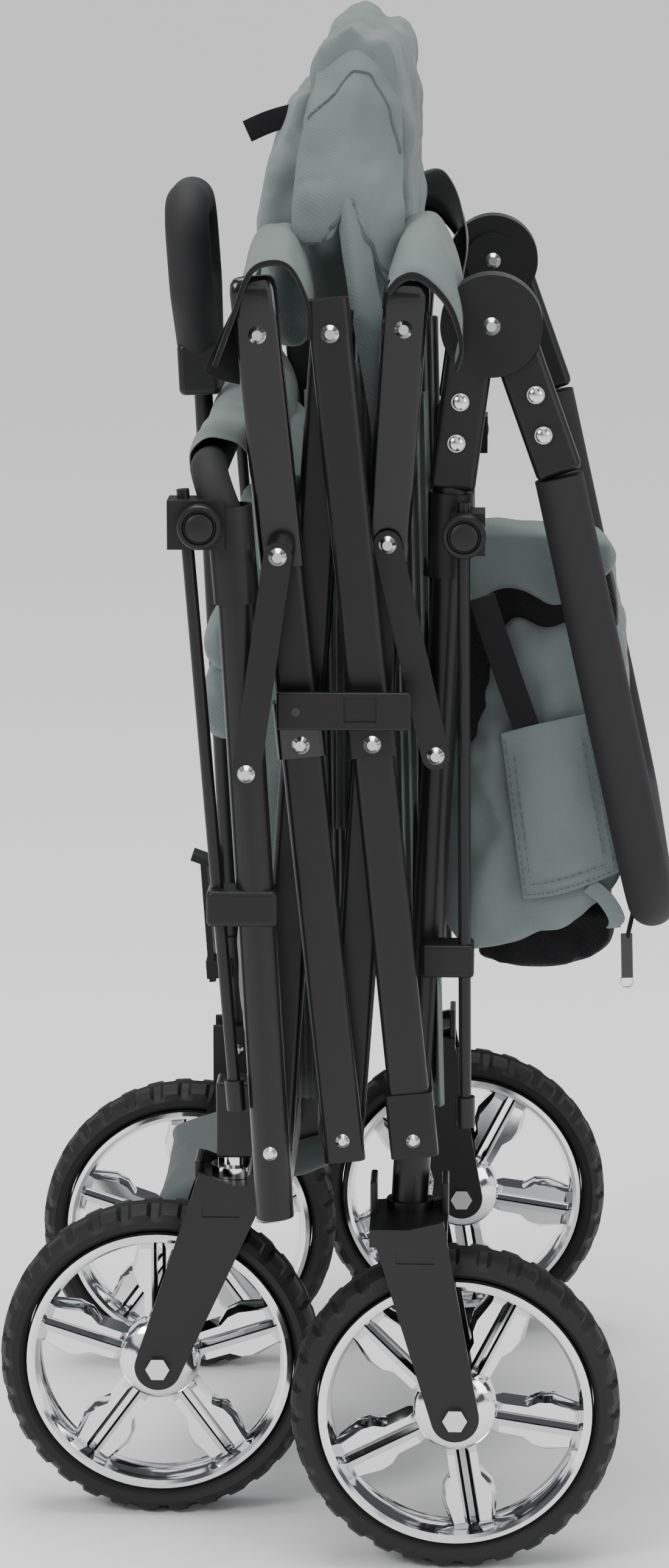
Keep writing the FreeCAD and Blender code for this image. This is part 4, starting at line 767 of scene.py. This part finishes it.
class STROLLER_OT_cabin_edges(bpy.types.Operator):
    """Build the cabin's bound edges where they wrap the tops of the struts and the front bar"""
    bl_idname = "stroller.cabin_edges"
    bl_label = "Cabin edges"

    def execute(self, context):
        width = context.scene.stroller_sizes.binding_width
        for side, sign in SIDES:
            self.front_corner(side, sign, width)
            self.rear_roll(side, sign, width)
        self.front_hem()
        return {"FINISHED"}

    def front_corner(self, side, sign, width):
        body = "front_frame"
        rows = []
        for y, lift in ((314, 0), (306, 2), (280, 9), (250, 15), (215, 18)):
            rows.append([(-86, y, 884 + lift * 0.3), (-74, y, 916 + lift * 0.5), (-62, y, 947 + lift),
                         (-47, y, 955 + lift), (-33, y, 950 + lift), (-22, y - 8, 925 + lift * 0.5),
                         (-21, y - 10, 902)])
        rows = mirrored(sign, rows)
        cloth("front_corner_%s" % side, rows, 18, 60, "fabric_grey", body, width=0.10,
              wave=0.002, wave_scale=30.0, seed=11.0)
        edge = [p + Vector((0, sign * 0.001, 0)) for p in rows[0]]
        tape("front_corner_binding_%s" % side, edge, Vector((0, sign, 0.25)), width, 0.003, body)
        lining = mirrored(sign, [[(-95, 300, 878), (-88, 300, 894), (-76, 300, 918),
                   (-64, 300, 942)],
                  [(-84, 296, 872), (-78, 296, 884), (-70, 296, 905),
                   (-60, 296, 930)],
                  [(-66, 296, 868), (-63, 296, 878), (-60, 296, 892),
                   (-57, 296, 910)]])
        cloth("front_corner_lining_%s" % side, lining, 14, 20, "binding_black", body,
              width=0.03, wave=0.001, wave_scale=30.0,
              seed=4.0)

    def rear_roll(self, side, sign, width):
        body = "rear_frame"
        rows = []
        for y, lift in ((293, -4), (286, 4), (262, 16), (232, 24), (200, 28)):
            rows.append([(33, y, 934 + lift * 0.4), (41, y, 944 + lift), (52, y, 950 + lift * 1.1),
                         (66, y, 940 + lift * 1.4), (78, y, 922 + lift * 1.2), (84, y, 900 + lift),
                         (80, y, 880 + lift * 0.5)])
        rows = mirrored(sign, rows)
        cloth("rear_roll_%s" % side, rows, 20, 64, "fabric_grey", body, width=0.10,
              wave=0.0015, wave_scale=22.0, seed=15.0)
        edge = [p + Vector((0, sign * 0.001, 0.0015 * math.sin(i * 2.2))) for i, p in enumerate(rows[0])]
        tape("rear_roll_binding_%s" % side, edge, Vector((0, sign, 0.4)), width, 0.0032, body)

    def front_hem(self):
        rows = []
        for k in range(9):
            y = -292.0 + 584.0 * k / 8
            sag = 4.0 * math.sin(k * 1.7)
            rows.append([at(-106, y, 806), at(-105, y, 821 + sag * 0.3), at(-94, y, 831 + sag * 0.3),
                         at(-80, y, 830 + sag * 0.5), at(-68, y, 824 + sag), at(-57, y, 806),
                         at(-53, y, 778)])
        cloth("front_hem", rows, 60, 40, "fabric_grey", "front_frame", width=0.572,
              wave=0.003, wave_scale=16.0, seed=21.0)


class STROLLER_OT_front_panel(bpy.types.Operator):
    """Build the cabin's front wall with its folded lobes, and the cloth of the foot board in a darker colour
    that paints its shade
    """
    bl_idname = "stroller.front_panel"
    bl_label = "Front panel"

    def execute(self, context):
        wall = [(-68, 384), (-42, 384), (-40, 560), (-42, 776), (-66, 776), (-70, 600)]
        puff("front_wall", sections_along_y(wall, 234.0, 0.03), "fabric_grey", "front_frame",
             replaces=("front_panel",), wrinkle=0.004, seed=8.0)
        upper = [(-70, 700), (-88, 698), (-99, 680), (-102, 664), (-94, 652), (-70, 650)]
        lower = [(-70, 652), (-92, 650), (-102, 636), (-104, 616), (-94, 602), (-70, 600)]
        for side, sign in SIDES:
            for name, outline in (("upper", upper), ("lower", lower)):
                sections = [[p + Vector((0, sign * 0.150, 0)) for p in s]
                            for s in sections_along_y(outline, 72.0, 0.25, 7)]
                puff("front_lobe_%s_%s" % (name, side), sections, "fabric_grey", "front_frame",
                     wrinkle=0.002, reach=0.004, seed=9.0)
        turn = math.radians(20.0)
        centre = at(-79, 0, 236)
        sections = []
        for k in range(7):
            y = -0.106 + 0.212 * k / 6
            ring = []
            for u, w in ((-0.072, -0.007), (-0.06, -0.009), (0.06, -0.009), (0.072, -0.007), (0.072, 0.007),
                         (0.06, 0.009), (-0.06, 0.009), (-0.072, 0.007)):
                ring.append(centre + Vector((u * math.cos(turn) - w * math.sin(turn), y,
                                             u * math.sin(turn) + w * math.cos(turn))))
            sections.append(ring)
        # the foot board cover takes the darker thread colour as painted shade, for the shadow the board lies
        # in
        puff("foot_board_cover", sections, "thread_and_painted_shade", "front_frame", replaces=("foot_board",),
             wrinkle=0.0012, reach=0.003, seed=12.0)
        return {"FINISHED"}


class STROLLER_OT_rear_bag(bpy.types.Operator):
    """Build the rear storage bag: body, top band, mesh mouth, patch pocket, strap and zip"""
    bl_idname = "stroller.rear_bag"
    bl_label = "Rear bag"

    def execute(self, context):
        body = [(80, 446), (126, 452), (170, 470), (198, 496), (201, 560), (200, 640), (192, 700), (164, 688),
                (140, 690), (118, 694), (99, 650), (84, 600), (78, 520)]
        puff("bag_body", sections_along_y(body, 214.0, 0.04, 11), "fabric_grey", "rear_frame",
             replaces=("rear_bag",), wrinkle=0.005, seed=14.0)
        band = [(80, 702), (118, 712), (150, 700), (178, 712), (196, 733), (186, 748), (150, 752), (80, 752)]
        puff("bag_top_band", sections_along_y(band, 216.0, 0.03, 9, slump=88.0), "fabric_grey", "rear_frame",
             wrinkle=0.003, reach=0.004, seed=17.0)
        mouth = [(84, 600), (184, 640), (190, 730), (120, 735), (84, 720)]
        puff("bag_mouth", sections_along_y(mouth, 206.0, 0.02, 7, slump=80.0), "mesh_black", "rear_frame",
             wrinkle=0.001, reach=0.003, seed=18.0)
        base = [(98, 434), (150, 428), (196, 444), (198, 470), (170, 470), (120, 456), (98, 450)]
        puff("bag_base_fold", sections_along_y(base, 186.0, 0.03, 7), "mesh_black", "rear_frame",
             replaces=("bag_base_pocket",), wrinkle=0.003, reach=0.004,
             seed=19.0)
        self.pocket()
        tape("bag_strap_near", [at(99, -246, 712), at(108, -242, 684), at(120, -236, 648), at(131, -229, 616),
                                at(137, -226, 598)], Vector((1, 0, 0.40)), 0.019, 0.0022, "rear_frame")
        tape("bag_loop_near", [at(178, -226, 498), at(190, -228, 488), at(198, -226, 474),
                               at(196, -222, 466)], Vector((0.8, 0, 0.6)), 0.012, 0.002, "rear_frame",
             material="fabric_grey")
        tape("bag_zip_tape", [at(199, -200, 520), at(208, -206, 500), at(211, -206, 480), at(207, -204, 456)],
             Vector((0, 1, 0)), 0.016, 0.0024, "rear_frame")
        return {"FINISHED"}

    def pocket(self):
        """The patch pocket on the near end, with its double row of stitches."""
        top = [(113, 610), (133, 616), (155, 621), (176, 625)]
        bottom = [(130, 488), (150, 490), (176, 498), (200, 508)]
        rows = []
        for (xa, za), (xb, zb), out in zip(top, bottom, (0, 5, 6, 0)):
            rows.append([at(xa + (xb - xa) * t, -(228.0 + out * math.sin(math.pi * min(1, t + 0.15))),
                            za + (zb - za) * t) for t in (0, 0.25, 0.5, 0.75, 1.0)])
        cloth("bag_pocket_near", rows, 26, 36, "fabric_grey", "rear_frame", width=0.068,
              wave=0.0016, wave_scale=24.0, seed=23.0)
        stitches = bmesh.new()
        for inset in (0.06, 0.14):
            lines = [[self.on_pocket(rows, inset, t) for t in self.run(inset)],
                     [self.on_pocket(rows, 1 - inset, t) for t in self.run(inset)],
                     [self.on_pocket(rows, u, 1 - inset * 0.7) for u in self.run(inset)]]
            for line in lines:
                for k in range(0, len(line) - 1, 2):
                    a, b = line[k], line[k + 1]
                    strip(stitches, [a, (a + b) / 2 + Vector((0, -0.0003, 0)), b], Vector((0.7, 0, 0.7)),
                          0.0009, 0.0007)
        add_piece("bag_pocket_stitches", stitches, "thread_and_painted_shade", "rear_frame")

    @staticmethod
    def run(inset):
        return [inset + (1 - 2 * inset) * k / 47 for k in range(48)]

    @staticmethod
    def on_pocket(rows, u, t):
        column = spline([spline(row, 49)[round(t * 48)] for row in rows], 49)
        return column[round(u * 48)] + Vector((0, -0.0022, 0))


class STROLLER_OT_side_panels(bpy.types.Operator):
    """Build the cabin's side walls as fixed pleated sheets between the struts"""
    bl_idname = "stroller.side_panels"
    bl_label = "Side panels"

    def execute(self, context):
        spans = (("rear", "rear_frame", "rear_outer_struts", (74, 40), (60, 28), (340, 860)),
                 ("middle", "rear_outer_struts", "front_inner_struts", (24, -6), (24, -6), (880, 545)),
                 ("front", "front_inner_struts", "front_frame", (-8, -38), (-14, -48), (345, 800)))
        for side, sign in SIDES:
            for name, one, two, low, high, heights in spans:
                self.fan(name, side, sign, one, two, low, high, heights)
        return {"FINISHED"}

    def fan(self, name, side, sign, one, two, low, high, heights):
        folds, steps = 12, 24
        bm = bmesh.new()
        uv = bm.loops.layers.uv.verify()
        columns = []
        for k in range(folds + 1):
            u = k / folds
            y = sign * (FAN_Y + (FAN_PLEAT if k % 2 else -FAN_PLEAT))
            column = []
            for i in range(steps + 1):
                t = i / steps
                x0 = low[0] + (high[0] - low[0]) * t
                x1 = low[1] + (high[1] - low[1]) * t
                x = x0 + (x1 - x0) * u
                z = heights[0] + (heights[1] - heights[0]) * t
                column.append(bm.verts.new(at(x, y, z)))
            columns.append(column)
        for k in range(folds):
            for i in range(steps):
                quad = ((k, i), (k, i + 1), (k + 1, i + 1), (k + 1, i))
                face = bm.faces.new([columns[a][b] for a, b in quad])
                for loop, (a, b) in zip(face.loops, quad):
                    loop[uv].uv = (a * 0.009, b * 0.02)
        label = "side_wall_%s_%s" % (name, side)
        replaces = ("side_panels",) if (name, side) == ("rear", "near") else ()
        obj = add_piece(label, bm, "fabric_grey", None, replaces, 20.0)
        thicken(obj, FAN_THICKNESS)
        bake(obj)
        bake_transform(obj)


class STROLLER_OT_stage(bpy.types.Operator):
    """Build the pale floor, the soft lights and the camera"""
    bl_idname = "stroller.stage"
    bl_label = "Stage"

    def execute(self, context):
        material, tree, shader, vector = base_material("studio_floor", 0.0, 0.6, 0.0, 0.2)
        shade = noise_node(tree, vector, 3.0)
        pale = mix_colour(tree, shade, (0.955, 0.955, 0.955), (0.97, 0.97, 0.97))
        tree.links.new(pale, shader.inputs["Base Color"])
        bm = bmesh.new()
        corners = ((-60.0, -60.0), (60.0, -60.0), (60.0, 60.0), (-60.0, 60.0))
        bm.faces.new([bm.verts.new((x, y, 0.0)) for x, y in corners])
        bm.normal_update()
        mesh = bpy.data.meshes.new("studio_floor")
        bm.to_mesh(mesh)
        bm.free()
        smooth_shade(mesh, 180.0)
        floor = bpy.data.objects.new("studio_floor", mesh)
        mesh.materials.append(material)
        context.scene.collection.objects.link(floor)
        self.light("key", (-2.2, -2.6, 2.6), (0.0, 0.0, 0.6), 1.2, 62.0)
        self.light("fill", (2.6, -2.4, 1.7), (0.0, 0.0, 0.5), 1.6, 30.0)
        self.light("top", (0.0, 0.3, 3.4), (0.0, 0.0, 0.6), 2.4, 60.0)
        sun = bpy.data.lights.new("overhead", "SUN")
        sun.energy = 1.3
        sun.angle = 0.6
        overhead = bpy.data.objects.new("overhead", sun)
        context.scene.collection.objects.link(overhead)
        context.scene.world = self.studio_world()
        data = bpy.data.cameras.new("camera")
        data.lens = 107.6
        data.sensor_width = 36.0
        camera = bpy.data.objects.new("camera", data)
        camera.location = (0.119, -3.5386, 1.253)
        camera.rotation_euler = (math.pi / 2 - 0.2028, 0.0, 0.0353)
        context.scene.collection.objects.link(camera)
        context.scene.camera = camera
        return {"FINISHED"}

    def studio_world(self):
        """White studio with darker openings between its soft boxes, which the plated parts reflect."""
        world = bpy.data.worlds.new("studio")
        world.use_nodes = True
        tree = world.node_tree
        direction = tree.nodes.new("ShaderNodeTexCoord").outputs["Generated"]
        patches = noise_node(tree, direction, 2.6, 1.0)
        edge = math_node(tree, "MULTIPLY", math_node(tree, "SUBTRACT", patches, 0.47), 14.0)
        factor = math_node(tree, "MINIMUM", math_node(tree, "MAXIMUM", edge, 0.0), 1.0)
        colour = mix_colour(tree, factor, (0.10, 0.10, 0.11), (1.25, 1.26, 1.28))
        tree.links.new(colour, tree.nodes["Background"].inputs["Color"])
        tree.nodes["Background"].inputs["Strength"].default_value = 0.9
        return world

    def light(self, name, place, target, size, power):
        data = bpy.data.lights.new(name, "AREA")
        data.size = size
        data.energy = power
        lamp = bpy.data.objects.new(name, data)
        lamp.location = place
        lamp.rotation_euler = (Vector(target) - Vector(place)).to_track_quat("-Z", "Y").to_euler()
        bpy.context.scene.collection.objects.link(lamp)


OPERATORS = (STROLLER_OT_materials, STROLLER_OT_wheels, STROLLER_OT_knobs,
             STROLLER_OT_small_fittings, STROLLER_OT_canopy,
             STROLLER_OT_cabin_edges, STROLLER_OT_front_panel, STROLLER_OT_rear_bag, STROLLER_OT_side_panels,
             STROLLER_OT_stage)


class STROLLER_PT_panel(bpy.types.Panel):
    """Lists the steps that build the stroller's looks"""
    bl_label = "Stroller"
    bl_idname = "STROLLER_PT_panel"
    bl_space_type = "VIEW_3D"
    bl_region_type = "UI"
    bl_category = "Stroller"

    def draw(self, context):
        for group in (context.scene.stroller_colours, context.scene.stroller_sizes):
            for name in group.__annotations__:
                self.layout.prop(group, name)
        for operator in OPERATORS:
            self.layout.operator(operator.bl_idname)


CLASSES = (StrollerColours, StrollerSizes) + OPERATORS + (STROLLER_PT_panel,)


def register():
    for cls in CLASSES:
        bpy.utils.register_class(cls)
    bpy.types.Scene.stroller_colours = bpy.props.PointerProperty(type=StrollerColours)
    bpy.types.Scene.stroller_sizes = bpy.props.PointerProperty(type=StrollerSizes)


def unregister():
    del bpy.types.Scene.stroller_sizes
    del bpy.types.Scene.stroller_colours
    for cls in reversed(CLASSES):
        bpy.utils.unregister_class(cls)


def main():
    register()
    for operator in OPERATORS:
        group, name = operator.bl_idname.split(".")
        getattr(getattr(bpy.ops, group), name)()


if __name__ == "__main__":
    main()
